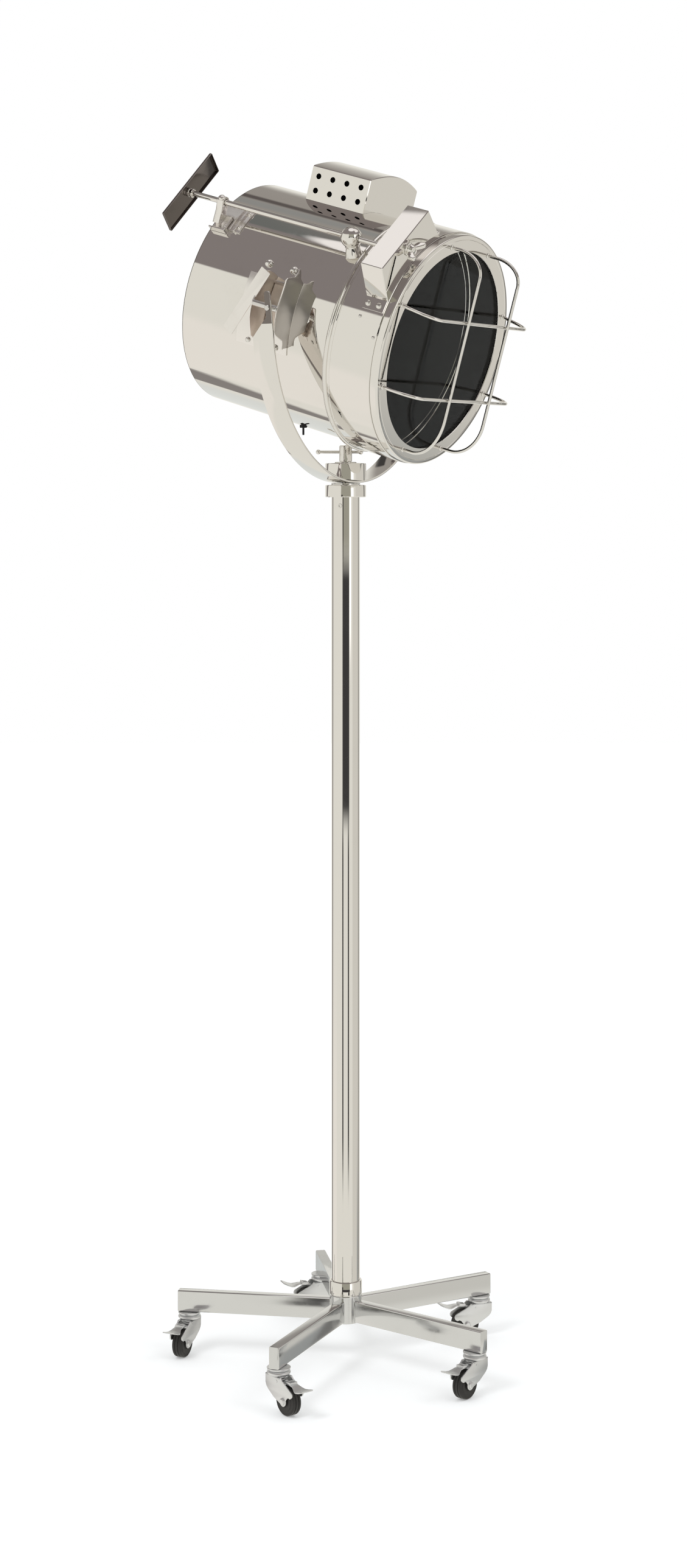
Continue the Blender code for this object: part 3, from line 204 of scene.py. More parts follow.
# Darker and lighter panels of the ceiling
roofPatches = (
    (-112, 17, 66, 74, 2.5, (0.165, 0.170, 0.163, 1)),
    (-172, 9, 56, 61, 1.5, (0.12, 0.105, 0.100, 1)),
    (-163, 9, 62, 68, 2.0, (0.300, 0.300, 0.290, 1)),
    (-160, 8, 33, 47, 1.5, (0.055, 0.052, 0.050, 1)),
    (88, 32, 41, 72, 4.0, (0.96, 0.92, 0.89, 1)),
)


def makeStudio():
    world = bpy.data.worlds.new("studio")
    bpy.context.scene.world = world
    world.use_nodes = True
    world.node_tree.nodes.clear()
    sheet, s = NodeSheet(world.node_tree), studio
    direction = sheet.add("ShaderNodeTexCoord").outputs["Generated"]
    split = sheet.add("ShaderNodeSeparateXYZ")
    sheet.feed(split.inputs[0], direction)
    x, y, z = split.outputs
    inDegrees = 180 / pi
    height = sheet.sum("MULTIPLY", sheet.sum("ARCSINE", z), inDegrees)
    towards = sheet.sum("MULTIPLY", y, -1.0)
    bearing = sheet.sum("MULTIPLY", sheet.sum("ARCTAN2", x, towards), inDegrees)

    def offset(middle):
        apart = sheet.sum("WRAP", sheet.sum("SUBTRACT", bearing, middle), 180.0, -180.0)
        return sheet.sum("ABSOLUTE", apart)

    def painted(colour, patches):
        for middle, half, low, high, soft, shade in patches:
            side = sheet.rise(offset(middle), half - soft, half + soft, 1.0, 0.0)
            share = sheet.sum("MULTIPLY", side, sheet.band(height, low, high, soft))
            colour = sheet.blend(share, colour, shade)
        return colour

    leaning = sheet.sum("MULTIPLY_ADD", height, s["gapLean"], s["gapAt"])
    strip = sheet.rise(offset(leaning), *s["gapSide"], 1.0, 0.0)
    strip = sheet.sum("MULTIPLY", strip, sheet.rise(height, *s["gapFoot"]))
    walls = painted(sheet.blend(strip, painted(s["pale"], lowPatches), s["gap"]), wallPatches)
    away = sheet.rise(offset(0.0), *s["back"])
    roof = painted(sheet.blend(away, s["ceiling"], s["ceilingBack"]), roofPatches)
    low, high = (sheet.sum("MULTIPLY_ADD", away, change, level) for level, change in s["eaves"])
    colour = sheet.blend(sheet.rise(height, low, high), walls, roof)
    lean = radians(s["overheadLean"])
    near = sheet.add("ShaderNodeVectorMath", operation="DOT_PRODUCT")
    sheet.feed(near.inputs[0], direction)
    near.inputs[1].default_value = (0, -sin(lean), cos(lean))
    rim = [cos(radians(s["overheadHalf"] + soft)) for soft in (s["overheadSoft"], -s["overheadSoft"])]
    above = sheet.rise(near.outputs["Value"], *rim)
    around = sheet.background(sheet.blend(above, colour, s["overhead"]))
    path = sheet.add("ShaderNodeLightPath")
    unseen = sheet.mixed(sheet.mirroredRays(path), sheet.background(s["plain"]), around)
    out = sheet.add("ShaderNodeOutputWorld")
    backdrop = sheet.background(s["backdrop"])
    sheet.feed(out.inputs[0], sheet.mixed(path.outputs["Is Camera Ray"], unseen, backdrop))


# The glow that keeps the floor white is fainter within the reach where shadows fall
floorLook = {"half": 9.0, "back": 3.0, "drop": 0.0005, "colour": (0.84, 0.86, 0.88, 1),
             "glow": (1.0, 1.0, 1.0, 1), "reach": (0.5, 1.5), "strength": (0.27, 0.62)}


def makeFloor():
    f = floorLook
    work = bmesh.new()
    bmesh.ops.create_grid(work, x_segments=1, y_segments=1, size=f["half"])
    floor = linked("floor", meshFrom("floor", work))
    floor.location = (0, f["back"], -f["drop"])
    look = bpy.data.materials.new("paleFloor")
    look.use_nodes = True
    look.node_tree.nodes.clear()
    sheet = NodeSheet(look.node_tree)
    path = sheet.add("ShaderNodeLightPath")
    matte = sheet.add("ShaderNodeBsdfDiffuse")
    sheet.feed(matte.inputs[0], f["colour"])
    glow = sheet.add("ShaderNodeEmission")
    sheet.feed(glow.inputs[0], f["glow"])
    reach = sheet.add("ShaderNodeVectorMath", operation="LENGTH")
    sheet.feed(reach.inputs[0], sheet.add("ShaderNodeNewGeometry").outputs["Position"])
    sheet.feed(glow.inputs[1], sheet.rise(reach.outputs["Value"], *f["reach"], *f["strength"]))
    both = sheet.add("ShaderNodeAddShader")
    sheet.feed(both.inputs[0], matte.outputs[0])
    sheet.feed(both.inputs[1], glow.outputs[0])
    direct = sheet.sum("MAXIMUM", path.outputs["Is Camera Ray"], sheet.mirroredRays(path))
    out = sheet.add("ShaderNodeOutputMaterial")
    sheet.feed(out.inputs[0], sheet.mixed(direct, matte.outputs[0], both.outputs[0]))
    floor.data.materials.append(look)
    floor.visible_glossy = False


# Each lamp: its place, the point that it faces, its width and its power
lamps = {"keyLamp": ((-2.2, -2.6, 4.0), (0, 0, 0.4), 1.6, 55.0),
         "fillLamp": ((2.6, -1.6, 3.4), (0, 0, 0.3), 2.2, 22.0)}


def makeLamps():
    for name, (place, aim, size, power) in lamps.items():
        data = bpy.data.lights.new(name, "AREA")
        data.shape = "DISK"
        data.size = size
        data.energy = power
        lamp = linked(name, data)
        lamp.location = place
        lamp.rotation_euler = (Vector(aim) - Vector(place)).to_track_quat("-Z", "Y").to_euler()
        lamp.visible_glossy = False
        lamp.visible_transmission = False


makeStudio()
makeFloor()
makeLamps()
print("studio set")

# Finishes. roughness is the least one, cloud how much smudges add to it, wave how far the sheet
# ripples, waveScale how closely, grain how much fine grain adds to the roughness.
finishes = {
    "polishedNickel": {"slot": "polished_nickel", "colour": (0.815, 0.795, 0.765),
                       "dull": (0.74, 0.715, 0.675),
                       "roughness": 0.018, "cloud": 0.05, "wave": 0.05, "waveScale": 7.0, "grain": 0.0},
    "brightWire": {"slot": "polished_nickel", "colour": (0.80, 0.785, 0.76), "dull": (0.66, 0.63, 0.60),
                   "roughness": 0.03, "cloud": 0.09, "wave": 0.12, "waveScale": 60.0, "grain": 0.0},
    "legSatin": {"slot": "satin_nickel", "colour": (0.735, 0.738, 0.737), "dull": (0.62, 0.615, 0.605),
                 "roughness": 0.12, "cloud": 0.13, "wave": 0.06, "waveScale": 14.0, "grain": 0.02},
    "zincPlate": {"slot": "zinc_plate", "colour": (0.80, 0.81, 0.82), "dull": (0.62, 0.62, 0.61),
                  "roughness": 0.34, "cloud": 0.10, "wave": 0.07, "waveScale": 45.0, "grain": 0.04},
    # The cheek finish is the same polished nickel made darker: painted shade on the front cheeks' flat faces
    # and on the top rolls
    "cheekPaintedShade": {"slot": "polished_nickel", "colour": (0.56, 0.535, 0.515), "dull": (0.48, 0.455, 0.435),
                   "roughness": 0.27, "cloud": 0.14, "wave": 0.10, "waveScale": 30.0, "grain": 0.02},
    # The kite finish is polished nickel tinted pinkish brown: a painted reflection on the rear cheeks' flat
    # faces
    "kitePaintedReflection": {"slot": "polished_nickel", "colour": (0.86, 0.745, 0.665), "dull": (0.74, 0.63, 0.56),
                  "roughness": 0.32, "cloud": 0.10, "wave": 0.10, "waveScale": 30.0, "grain": 0.02},
    # The paddle finish is polished nickel made near black: a painted dark reflection on the paddle and on the
    # yoke tongues' outer faces
    "darkPaintedReflection": {"slot": "polished_nickel", "colour": (0.205, 0.182, 0.172), "dull": (0.15, 0.135, 0.125),
                    "roughness": 0.11, "cloud": 0.16, "wave": 0.12, "waveScale": 20.0, "grain": 0.0},
    "bracketSheet": {"slot": "polished_nickel", "colour": (0.88, 0.855, 0.83), "dull": (0.78, 0.75, 0.72),
                     "roughness": 0.24, "cloud": 0.06, "wave": 0.02, "waveScale": 7.0, "grain": 0.0},
    "coverSheet": {"slot": "polished_nickel", "colour": (0.62, 0.605, 0.58), "dull": (0.40, 0.38, 0.36),
                   "roughness": 0.20, "cloud": 0.18, "wave": 0.08, "waveScale": 12.0, "grain": 0.0},
    "turnedSteel": {"slot": "bright_steel", "colour": (0.72, 0.71, 0.69), "dull": (0.55, 0.53, 0.50),
                    "roughness": 0.12, "cloud": 0.12, "wave": 0.08, "waveScale": 40.0, "grain": 0.03},
}
looks = {}


def newFinish(name):
    look = bpy.data.materials.new(name)
    look.use_nodes = True
    looks[name] = look
    sheet = NodeSheet(look.node_tree)
    place = sheet.add("ShaderNodeTexCoord").outputs["Object"]
    return sheet, look.node_tree.nodes["Principled BSDF"], place


def addBump(sheet, shader, height, strength, distance):
    bump = sheet.add("ShaderNodeBump")
    bump.inputs["Strength"].default_value = strength
    bump.inputs["Distance"].default_value = distance
    sheet.feed(bump.inputs["Height"], height)
    sheet.feed(shader.inputs["Normal"], bump.outputs[0])


def metalFinish(name):
    f = finishes[name]
    sheet, shader, place = newFinish(name)
    dull = sheet.rise(sheet.noise(place, 9.0, 6.0, 0.6), 0.52, 0.78)
    speck = sheet.rise(sheet.noise(place, 130.0, 3.0, 0.7), 0.45, 0.75)
    stain = sheet.sum("MULTIPLY", sheet.sum("MULTIPLY", dull, speck), 0.45)
    share = sheet.sum("ADD", sheet.sum("MULTIPLY", dull, 0.16), stain, clamp=True)
    sheet.feed(shader.inputs["Base Color"], sheet.blend(share, (*f["colour"], 1), (*f["dull"], 1)))
    smudge = sheet.rise(sheet.noise(place, 22.0, 7.0, 0.65), 0.45, 0.85)
    rough = sheet.sum("MULTIPLY_ADD", smudge, f["cloud"], f["roughness"])
    if f["grain"]:
        rough = sheet.sum("MULTIPLY_ADD", sheet.noise(place, 420.0, 2.0, 0.5), f["grain"], rough)
    sheet.feed(shader.inputs["Roughness"], rough)
    shader.inputs["Metallic"].default_value = 1.0
    addBump(sheet, shader, sheet.noise(place, f["waveScale"], 2.0, 0.4), f["wave"], 0.002)


def plainFinish(name, slotName, colour, roughness, scale=40.0, **more):
    sheet, shader, place = newFinish(name)
    cloud = sheet.rise(sheet.noise(place, scale, 5.0, 0.6), 0.4, 0.75)
    shaded = tuple(c * more.get("shade", 0.7) for c in colour)
    sheet.feed(shader.inputs["Base Color"], sheet.blend(cloud, (*colour, 1), (*shaded, 1)))
    rough = sheet.sum("MULTIPLY_ADD", cloud, more["spread"], roughness)
    sheet.feed(shader.inputs["Roughness"], rough)
    shader.inputs["Metallic"].default_value = more.get("metallic", 0.0)
    if "specular" in more:
        shader.inputs["Specular IOR Level"].default_value = more["specular"]
    if "bump" in more:
        addBump(sheet, shader, sheet.noise(place, 700.0, 3.0, 0.6), more["bump"], 0.0006)


for finishName in finishes:
    metalFinish(finishName)
plainFinish("tyreRubber", "black_rubber", (0.021, 0.0195, 0.0185), 0.48, spread=0.2, bump=0.35, shade=1.7)
# Painted shade: near black inside the drum, inside the vent box and on the stud under the drum
plainFinish("paintedShadeDark", "polished_nickel", (0.016, 0.016, 0.0165), 0.42, 9.0, spread=0.15,
            metallic=0.2, shade=1.8, specular=0.25)
# The mirror reflector made near black: painted shade for the dark inside of the drum that it reflects
plainFinish("reflectorPaintedShade", "mirror_reflector", (0.060, 0.061, 0.063), 0.22, 7.0, spread=0.2,
            metallic=1.0)
plainFinish("opalGlass", "opal_bulb", (0.33, 0.33, 0.32), 0.12, 15.0, spread=0.05, shade=0.85)
plainFinish("glazedPorcelain", "porcelain", (0.42, 0.40, 0.36), 0.25, 20.0, spread=0.1)

glass = {"colour": (0.86, 0.88, 0.87, 1), "index": 1.12, "smear": 0.12}


def glassFinish():
    sheet, shader, place = newFinish("clearGlass")
    smear = sheet.rise(sheet.noise(place, 16.0, 6.0, 0.7), 0.55, 0.8)
    shader.inputs["Base Color"].default_value = glass["colour"]
    shader.inputs["Transmission Weight"].default_value = 1.0
    shader.inputs["IOR"].default_value = glass["index"]
    sheet.feed(shader.inputs["Roughness"], sheet.sum("MULTIPLY", smear, glass["smear"]))


glassFinish()
print("finishes made:", len(looks))


madePieces = []


def shaded(mesh, degrees):
    mesh.shade_smooth()
    mesh.set_sharp_from_angle(angle=radians(degrees))


def piece(name, mesh, look, body, place, replaced=(), smooth=30, extra=()):
    # Makes a mesh an object that rides on a CAD body.
    made = linked(name, mesh)
    for finish in (look, *extra):
        mesh.materials.append(looks[finish])
    shaded(mesh, smooth)
    made.matrix_world = place
    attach(made, body)
    if replaced:
        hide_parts(*replaced)
    madePieces.append(made)
    return made


def facedOut(mesh, weld=0.0):
    # Turns a mesh's faces outward, its points that are nearer than weld made one first.
    work = bmesh.new()
    work.from_mesh(mesh)
    if weld:
        bmesh.ops.remove_doubles(work, verts=work.verts, dist=weld)
    bmesh.ops.recalc_face_normals(work, faces=work.faces)
    work.to_mesh(mesh)
    work.free()
    return mesh


def fromPoints(name, points, faces):
    mesh = bpy.data.meshes.new(name)
    mesh.from_pydata([tuple(p) for p in points], [], faces)
    mesh.validate()
    return facedOut(mesh, 0.0000005)


def spun(name, profile, steps):
    # Turns (radius, height) points round Z. A profile off the axis closes on itself as a ring.
    points, faces, rings = [], [], []
    for radius, height in profile:
        if radius < 1e-7:
            rings.append([len(points)] * steps)
            points.append((0, 0, height))
        else:
            rings.append(list(range(len(points), len(points) + steps)))
            turns = [2 * pi * i / steps for i in range(steps)]
            points += [(radius * cos(t), radius * sin(t), height) for t in turns]
    for first, second in zip(rings, rings[1:] + rings[:1]):
        for i in range(steps):
            j = (i + 1) % steps
            face = list(dict.fromkeys((first[i], first[j], second[j], second[i])))
            if len(face) > 2:
                faces.append(face)
    return fromPoints(name, points, faces)


def turnedPiece(name, profile, steps, look, body, place, node=None, extra=()):
    # A piece turned round its place's Z, which stands for the CAD node where one is named.
    return piece(name, spun(name, profile, steps), look, body, place, [node] if node else (), extra=extra)


def plug(radius, half, steps=32):
    # A plain round bar along Z about its middle, for cutting bores and hollows.
    return spun("plug", [(0, -half), (radius, -half), (radius, half), (0, half)], steps)


def barProfile(radius, long, edge):
    # The profile of a bar with its end edges broken.
    return [(0, 0), (radius - edge, 0), (radius, edge), (radius, long - edge), (radius - edge, long),
            (0, long)]


def lofted(name, rings):
    # Skins a row of equal rings of points, with a face over each end.
    count = len(rings[0])
    points = [p for ring in rings for p in ring]
    faces = []
    for a in range(0, len(points) - count, count):
        b = a + count
        faces += [(a + i, a + (i + 1) % count, b + (i + 1) % count, b + i) for i in range(count)]
    faces += [tuple(range(count)), tuple(range(len(points) - count, len(points)))]
    return fromPoints(name, points, faces)


def meshOfCurve(name, curve):
    drawn = linked(name, curve)
    bpy.context.view_layer.update()
    mesh = bpy.data.meshes.new_from_object(drawn.evaluated_get(bpy.context.evaluated_depsgraph_get()))
    bpy.data.objects.remove(drawn, do_unlink=True)
    mesh.name = name
    mesh.materials.clear()
    return facedOut(mesh, 0.000001)


def cutSheet(name, outlines, thickness, edge=0.0003):
    # Flat sheet in XY, its first outline the rim and the others holes, with a softened edge.
    curve = bpy.data.curves.new(name, "CURVE")
    curve.dimensions = "2D"
    curve.fill_mode = "BOTH"
    curve.extrude = thickness / 2 - edge
    curve.bevel_depth = edge
    curve.bevel_resolution = 1
    curve.offset = -edge
    for outline in outlines:
        spline = curve.splines.new("POLY")
        spline.points.add(len(outline) - 1)
        for point, (x, y) in zip(spline.points, outline):
            point.co = (x, y, 0, 1)
        spline.use_cyclic_u = True
    return meshOfCurve(name, curve)


def wire(name, points, radius):
    curve = bpy.data.curves.new(name, "CURVE")
    curve.dimensions = "3D"
    curve.bevel_depth = radius
    curve.bevel_resolution = 5
    curve.use_fill_caps = True
    spline = curve.splines.new("POLY")
    spline.points.add(len(points) - 1)
    for point, place in zip(spline.points, points):
        point.co = (*place, 1)
    return meshOfCurve(name, curve)


def arc(centre, radius, start, end, count):
    # Points on an arc, or on part of an oval where radius is a pair.
    wide, tall = radius if isinstance(radius, tuple) else (radius, radius)
    turns = [radians(start + (end - start) * i / (count - 1)) for i in range(count)]
    return [(centre[0] + wide * cos(t), centre[1] + tall * sin(t)) for t in turns]


def mirrored(profile):
    # A profile's upper half with the same points below it.
    return [(x, -h) for x, h in profile[::-1]] + profile


def aimed(start, end):
    # A frame at start whose Z points to end.
    run = Vector(end) - Vector(start)
    return Matrix.Translation(Vector(start)) @ Vector((0, 0, 1)).rotation_difference(run).to_matrix().to_4x4()


def joined(name, meshes):
    # Several meshes, each with its place, as one mesh.
    work = bmesh.new()
    for mesh, place in meshes:
        copy = mesh.copy()
        copy.transform(place)
        work.from_mesh(copy)
        bpy.data.meshes.remove(copy)
    return meshFrom(name, work)


def roundDrum(radius, bearing, along=0.0):
    # A point in the head's frame, its bearing in degrees from the top towards the right-hand side.
    t = radians(bearing)
    return Vector((along, -radius * sin(t), radius * cos(t)))


def drumFrame(radius, bearing, along):
    # A frame on the drum: Z outward, X forward.
    outward = roundDrum(1.0, bearing)
    forward = Vector((1, 0, 0))
    axes = Matrix((forward, outward.cross(forward), outward)).transposed().to_4x4()
    return Matrix.Translation(roundDrum(radius, bearing, along)) @ axes


def boxMesh(low, high, edge):
    # A box with its edges broken.
    work = bmesh.new()
    bmesh.ops.create_cube(work, size=1.0)
    bmesh.ops.scale(work, vec=[h - l for l, h in zip(low, high)], verts=work.verts)
    bmesh.ops.translate(work, vec=[(h + l) / 2 for l, h in zip(low, high)], verts=work.verts)
    bmesh.ops.bevel(work, geom=work.edges[:], offset=edge, segments=1, profile=0.6, affect="EDGES")
    return meshFrom("box", work)


def roundedOutline(points, radius, steps=5):
    # Rounds each corner of a closed outline by up to a radius.
    rounded = []
    for index, point in enumerate(points):
        here = Vector(point)
        before, after = Vector(points[index - 1]) - here, Vector(points[(index + 1) % len(points)]) - here
        reach = min(radius, before.length * 0.45, after.length * 0.45)
        first, last = here + before.normalized() * reach, here + after.normalized() * reach
        for step in range(steps + 1):
            t = step / steps
            rounded.append(tuple(first * (1 - t) ** 2 + here * 2 * t * (1 - t) + last * t ** 2))
    return rounded


def cutWith(target, cutters):
    # Cuts with throwaway meshes given as (mesh, place), and keeps the result as the target's mesh.
    tools = []
    for mesh, place in cutters:
        tool = linked("tool", mesh)
        tool.matrix_world = place
        change = target.modifiers.new("cut", "BOOLEAN")
        change.operation = "DIFFERENCE"
        change.solver = "EXACT"
        change.object = tool
        tools.append(tool)
    bpy.context.view_layer.update()
    mesh = bpy.data.meshes.new_from_object(target.evaluated_get(bpy.context.evaluated_depsgraph_get()))
    target.modifiers.clear()
    target.data = mesh
    for tool in tools:
        bpy.data.objects.remove(tool, do_unlink=True)


# Drum, rear cover, front barrel, bezel and glass
drum = {"radius": 0.202, "wall": 0.002, "rear": -0.213, "front": 0.125, "dome": 0.012, "plug": 0.010,
        "steps": 180, "edge": 0.0006}
barrel = {"radius": 0.2095, "rear": 0.100, "front": 0.197, "bead": 0.004, "groove": 0.0007,
          "grooveAt": (0.0062, 0.0052, 0.0038, 0.0028)}
bezel = {"front": 0.212, "opening": 0.1775, "sheet": 0.002, "roll": 0.0035, "back": 0.008, "lip": 0.0012,
         "groove": 0.0085, "glass": 0.005, "glassEdge": 0.001}
gap = 0.0003


def makeDrum():
    r, w, edge, front, rear = (drum[key] for key in ("radius", "wall", "edge", "front", "rear"))
    wall = r - w
    profile = [(wall, front), (r - edge, front), (r, front - edge), (r, rear + edge), (r - edge, rear),
               (wall, rear)]
    shell = turnedPiece("drumShell", profile, drum["steps"], "polishedNickel", "head", drumPlace, "drum",
                        ["paintedShadeDark"])
    # Its inner faces take the near-black second finish: painted shade inside the drum
    for face in shell.data.polygons:
        middle = face.center
        if sqrt(middle.x ** 2 + middle.y ** 2) < wall + 0.0002 and abs(face.normal.z) < 0.5:
            face.material_index = 1
    rear -= gap
    dome = (0, 6, 13, 21, 30, 40, 50, 60, 70, 80)
    outer = [(r * cos(radians(t)), rear - drum["dome"] * sin(radians(t))) for t in dome]
    inner = [(max(x - w, 0), h + w) for x, h in outer[1:]]
    inside, deep = wall - gap, rear + drum["plug"]
    profile = [(0, rear - drum["dome"] + w)] + inner[::-1]
    profile += [(inside - w, rear + w), (inside - w, deep), (inside, deep), (inside, rear)]
    profile += outer + [(0, rear - drum["dome"])]
    turnedPiece("rearCover", profile, drum["steps"], "coverSheet", "head", drumPlace, "rear_cover")


def makeBarrel():
    b, w, edge = barrel, drum["wall"], drum["edge"]
    r, rear, bead = b["radius"], b["rear"], b["bead"]
    lip, shoulder = drum["radius"] + gap, rear + 2 * bead
    profile = [(r - w, b["front"]), (r - edge, b["front"]), (r, b["front"] - edge)]
    depths = (0, b["groove"], b["groove"], 0)
    profile += [(r - deep, shoulder + at) for deep, at in zip(depths, b["grooveAt"])]
    profile += [(y, x) for x, y in arc((rear + bead, r), bead, 0, 180, 13)]
    profile += [(lip, rear), (lip, rear + w), (r - w, shoulder)]
    turnedPiece("frontBarrel", profile, drum["steps"], "polishedNickel", "head", drumPlace, "front_barrel")


def makeBezel():
    b = bezel
    outer = barrel["radius"] - drum["wall"] - gap
    inner = outer - b["sheet"]
    back = barrel["front"] - b["back"]
    front, opening, roll = b["front"], b["opening"], b["roll"]
    face = front - b["sheet"]
    groove = outer - b["groove"]
    profile = [(opening, face), (opening, front - b["lip"]), (opening + 0.0006, front)]
    profile += [(groove - 0.0007, front), (groove - 0.0002, front - 0.0006),
                (groove + 0.0002, front - 0.0006), (groove + 0.0007, front)]
    profile += [(y, x) for x, y in arc((front - roll, outer - roll), roll, 0, 90, 9)]
    profile += [(outer, back), (inner, back), (inner, face)]
    turnedPiece("bezelRing", profile, drum["steps"], "polishedNickel", "head", drumPlace, "bezel")
    front, pane, edge = face - gap, inner - gap, b["glassEdge"]
    profile = [(0, front), (pane - edge, front), (pane, front - edge), (pane, front - b["glass"]),
               (0, front - b["glass"])]
    turnedPiece("frontGlass", profile, 96, "clearGlass", "head", drumPlace, "front_glass")


makeDrum()
makeBarrel()
makeBezel()
print("drum, barrel and bezel made")

# Wire guard: each upright and level as foot offset, front offset, and the drops at its two ends
guard = {"rod": 0.003, "depth": 0.072, "footRadius": 0.190, "bend": 0.052, "step": 0.0058,
         "uprights": ((-0.059, -0.066, 0.040, 0.070), (0.071, 0.073, 0.040, 0.060)),
         "levels": ((0.071, 0.062, 0.036, 0.030), (-0.072, -0.075, 0.036, 0.030)),
         "footWide": 0.0048, "footTall": 0.0022, "footSink": 0.0001}


def guardRod(footOffset, frontOffset, firstDrop, lastDrop, level):
    # One rod from foot to foot as (forward, offset, across), bent round at both ends.
    foot = sqrt(guard["footRadius"] ** 2 - footOffset ** 2)
    seat = bezel["front"] + gap
    front = bezel["front"] + guard["depth"] - level
    bend = guard["bend"]
    halves = []
    for side, drop in ((1, firstDrop), (-1, lastDrop)):
        points = [(seat, footOffset, side * foot), (seat + guard["rod"], footOffset, side * foot)]
        for turn in range(17):
            t = radians(90 - 90 * turn / 16)
            forward = front - bend + bend * cos(t)
            across = foot - drop + drop * sin(t)
            share = (forward - seat) / (front - seat)
            points.append((forward, footOffset + (frontOffset - footOffset) * share, side * across))
        halves.append(points)
    return halves[0] + halves[1][::-1]


def footCap(radius, height):
    # A low round rivet head or foot, its flat side at z 0.
    turns = [radians(t) for t in (0, 20, 40, 60, 75)]
    top = [(radius * cos(t), height * (0.25 + 0.75 * sin(t))) for t in turns]
    return spun("footCap", [(0, 0), (radius, 0)] + top + [(0, height)], 20)


def makeGuard():
    paths = []
    for rod in guard["uprights"]:
        paths.append(guardRod(*rod, 0.0))
    for rod in guard["levels"]:
        paths.append([(x, across, offset) for x, offset, across in guardRod(*rod, guard["step"])])
    rods = [(wire("guardRod", path, guard["rod"]), still) for path in paths]
    cap = footCap(guard["footWide"], guard["footTall"])
    feet = [(cap, movedBy(x - guard["footSink"], y, z) @ alongX)
            for path in paths for x, y, z in (path[0], path[-1])]
    piece("wireGuard", joined("wireGuard", rods), "brightWire", "head", headPlace, ["cage_guard"], smooth=60)
    piece("guardFeet", joined("guardFeet", feet), "brightWire", "head", headPlace)


makeGuard()
print("guard made")


def strap(name, stations, thickness, edge=0.0008):
    # A bent strip. Each station is (place, outward, across, low, high).
    rings = []
    half = thickness / 2
    for place, outward, across, low, high in stations:
        ring = []
        for cornerAcross, cornerOut, start in ((high - edge, half - edge, 90), (high - edge, -half + edge, 0),
                                               (low + edge, -half + edge, -90),
                                               (low + edge, half - edge, -180)):
            for turn in (start, start - 45, start - 90):
                t = radians(turn)
                a = cornerAcross + edge * cos(t)
                o = cornerOut + edge * sin(t)
                ring.append(Vector(place) + Vector(across) * a + Vector(outward) * o)
        rings.append(ring)
    return lofted(name, rings)


# Pole, hub, collars and the five legs
stand = {"radius": 0.0254, "wall": 0.003, "top": 1.569, "collar": 0.0366, "collarBottom": 1.549,
         "collarLip": 0.002, "hub": 0.029, "hubBottom": 0.073, "hubTop": 0.1211, "baseCollar": 0.0292,
         "baseCollarTall": 0.025, "poleEdge": 0.0005, "edge": 0.0012, "steps": 96}
legs = {"bearings": (170.4, 246.7, 321.0, 30.8, 99.0), "start": 0.0272, "reach": 0.307, "tall": 0.0381,
        "wide": 0.01905, "bottom": 0.075, "corner": 0.0026, "inset": 0.020}


def makePole():
    s, edge = stand, stand["edge"]
    r, top, bottom, fine, steps = s["radius"], s["top"], s["hubBottom"], s["poleEdge"], s["steps"]
    inner, bore = r - s["wall"], r + gap
    tube = [(inner, top), (r - fine, top), (r, top - fine), (r, bottom + fine), (r - fine, bottom),
            (inner, bottom)]
    turnedPiece("poleTube", tube, steps, "polishedNickel", "stand", poleFoot, "pole")
    wide, high = s["hub"], s["hubTop"]
    hub = [(bore, high), (wide - edge, high), (wide, high - edge), (wide, bottom + edge),
           (wide - edge, bottom),
           (bore, bottom)]
    turnedPiece("hubTube", hub, steps, "legSatin", "stand", poleFoot, "hub")
    low = s["hubTop"] + gap
    high, wide = low + s["baseCollarTall"], s["baseCollar"]
    collar = [(bore, high), (wide - 0.0022, high), (wide - 0.0007, high - 0.0006), (wide, high - 0.002),
              (wide, low + edge), (wide - edge, low), (bore, low)]
    turnedPiece("baseCollar", collar, steps, "polishedNickel", "stand", poleFoot, "base_collar")
    lip, low, wide = top + s["collarLip"], s["collarBottom"], s["collar"]
    ring = [(bore, top + gap), (inner, top + gap), (inner, lip), (wide - 0.0016, lip),
            (wide - 0.0005, lip - 0.0005), (wide, lip - 0.0016), (wide, low + edge), (wide - edge, low),
            (bore, low)]
    turnedPiece("topCollar", ring, steps, "polishedNickel", "stand", poleFoot, "top_collar")


def legRing(x, wide, low, high, corner):
    ring = []
    for y, z, start in ((wide, high, 90), (wide, low, 0), (-wide, low, -90), (-wide, high, -180)):
        cy = y - corner * (1 if y > 0 else -1)
        cz = z - corner * (1 if z == high else -1)
        for turn in (start, start - 30, start - 60, start - 90):
            t = radians(turn)
            ring.append((x, cy + corner * cos(t), cz + corner * sin(t)))
    return ring


def makeLegs():
    low, high, half = legs["bottom"], legs["bottom"] + legs["tall"], legs["wide"] / 2
    reach = legs["reach"]
    for number, bearing in enumerate(legs["bearings"], 1):
        rings = [legRing(x, half - inset, low + inset, high - inset, max(legs["corner"] - inset, 0.0008))
                 for x, inset in ((legs["start"], 0), (reach - 0.0012, 0), (reach - 0.0004, 0.0004),
                                  (reach, 0.0012))]
        piece(f"legTube{number}", lofted("legTube", rings), "legSatin", "stand",
              poleFoot @ turnedBy(bearing, "Z"), [f"leg_{number}"])


makePole()
makeLegs()
print("pole and legs made")

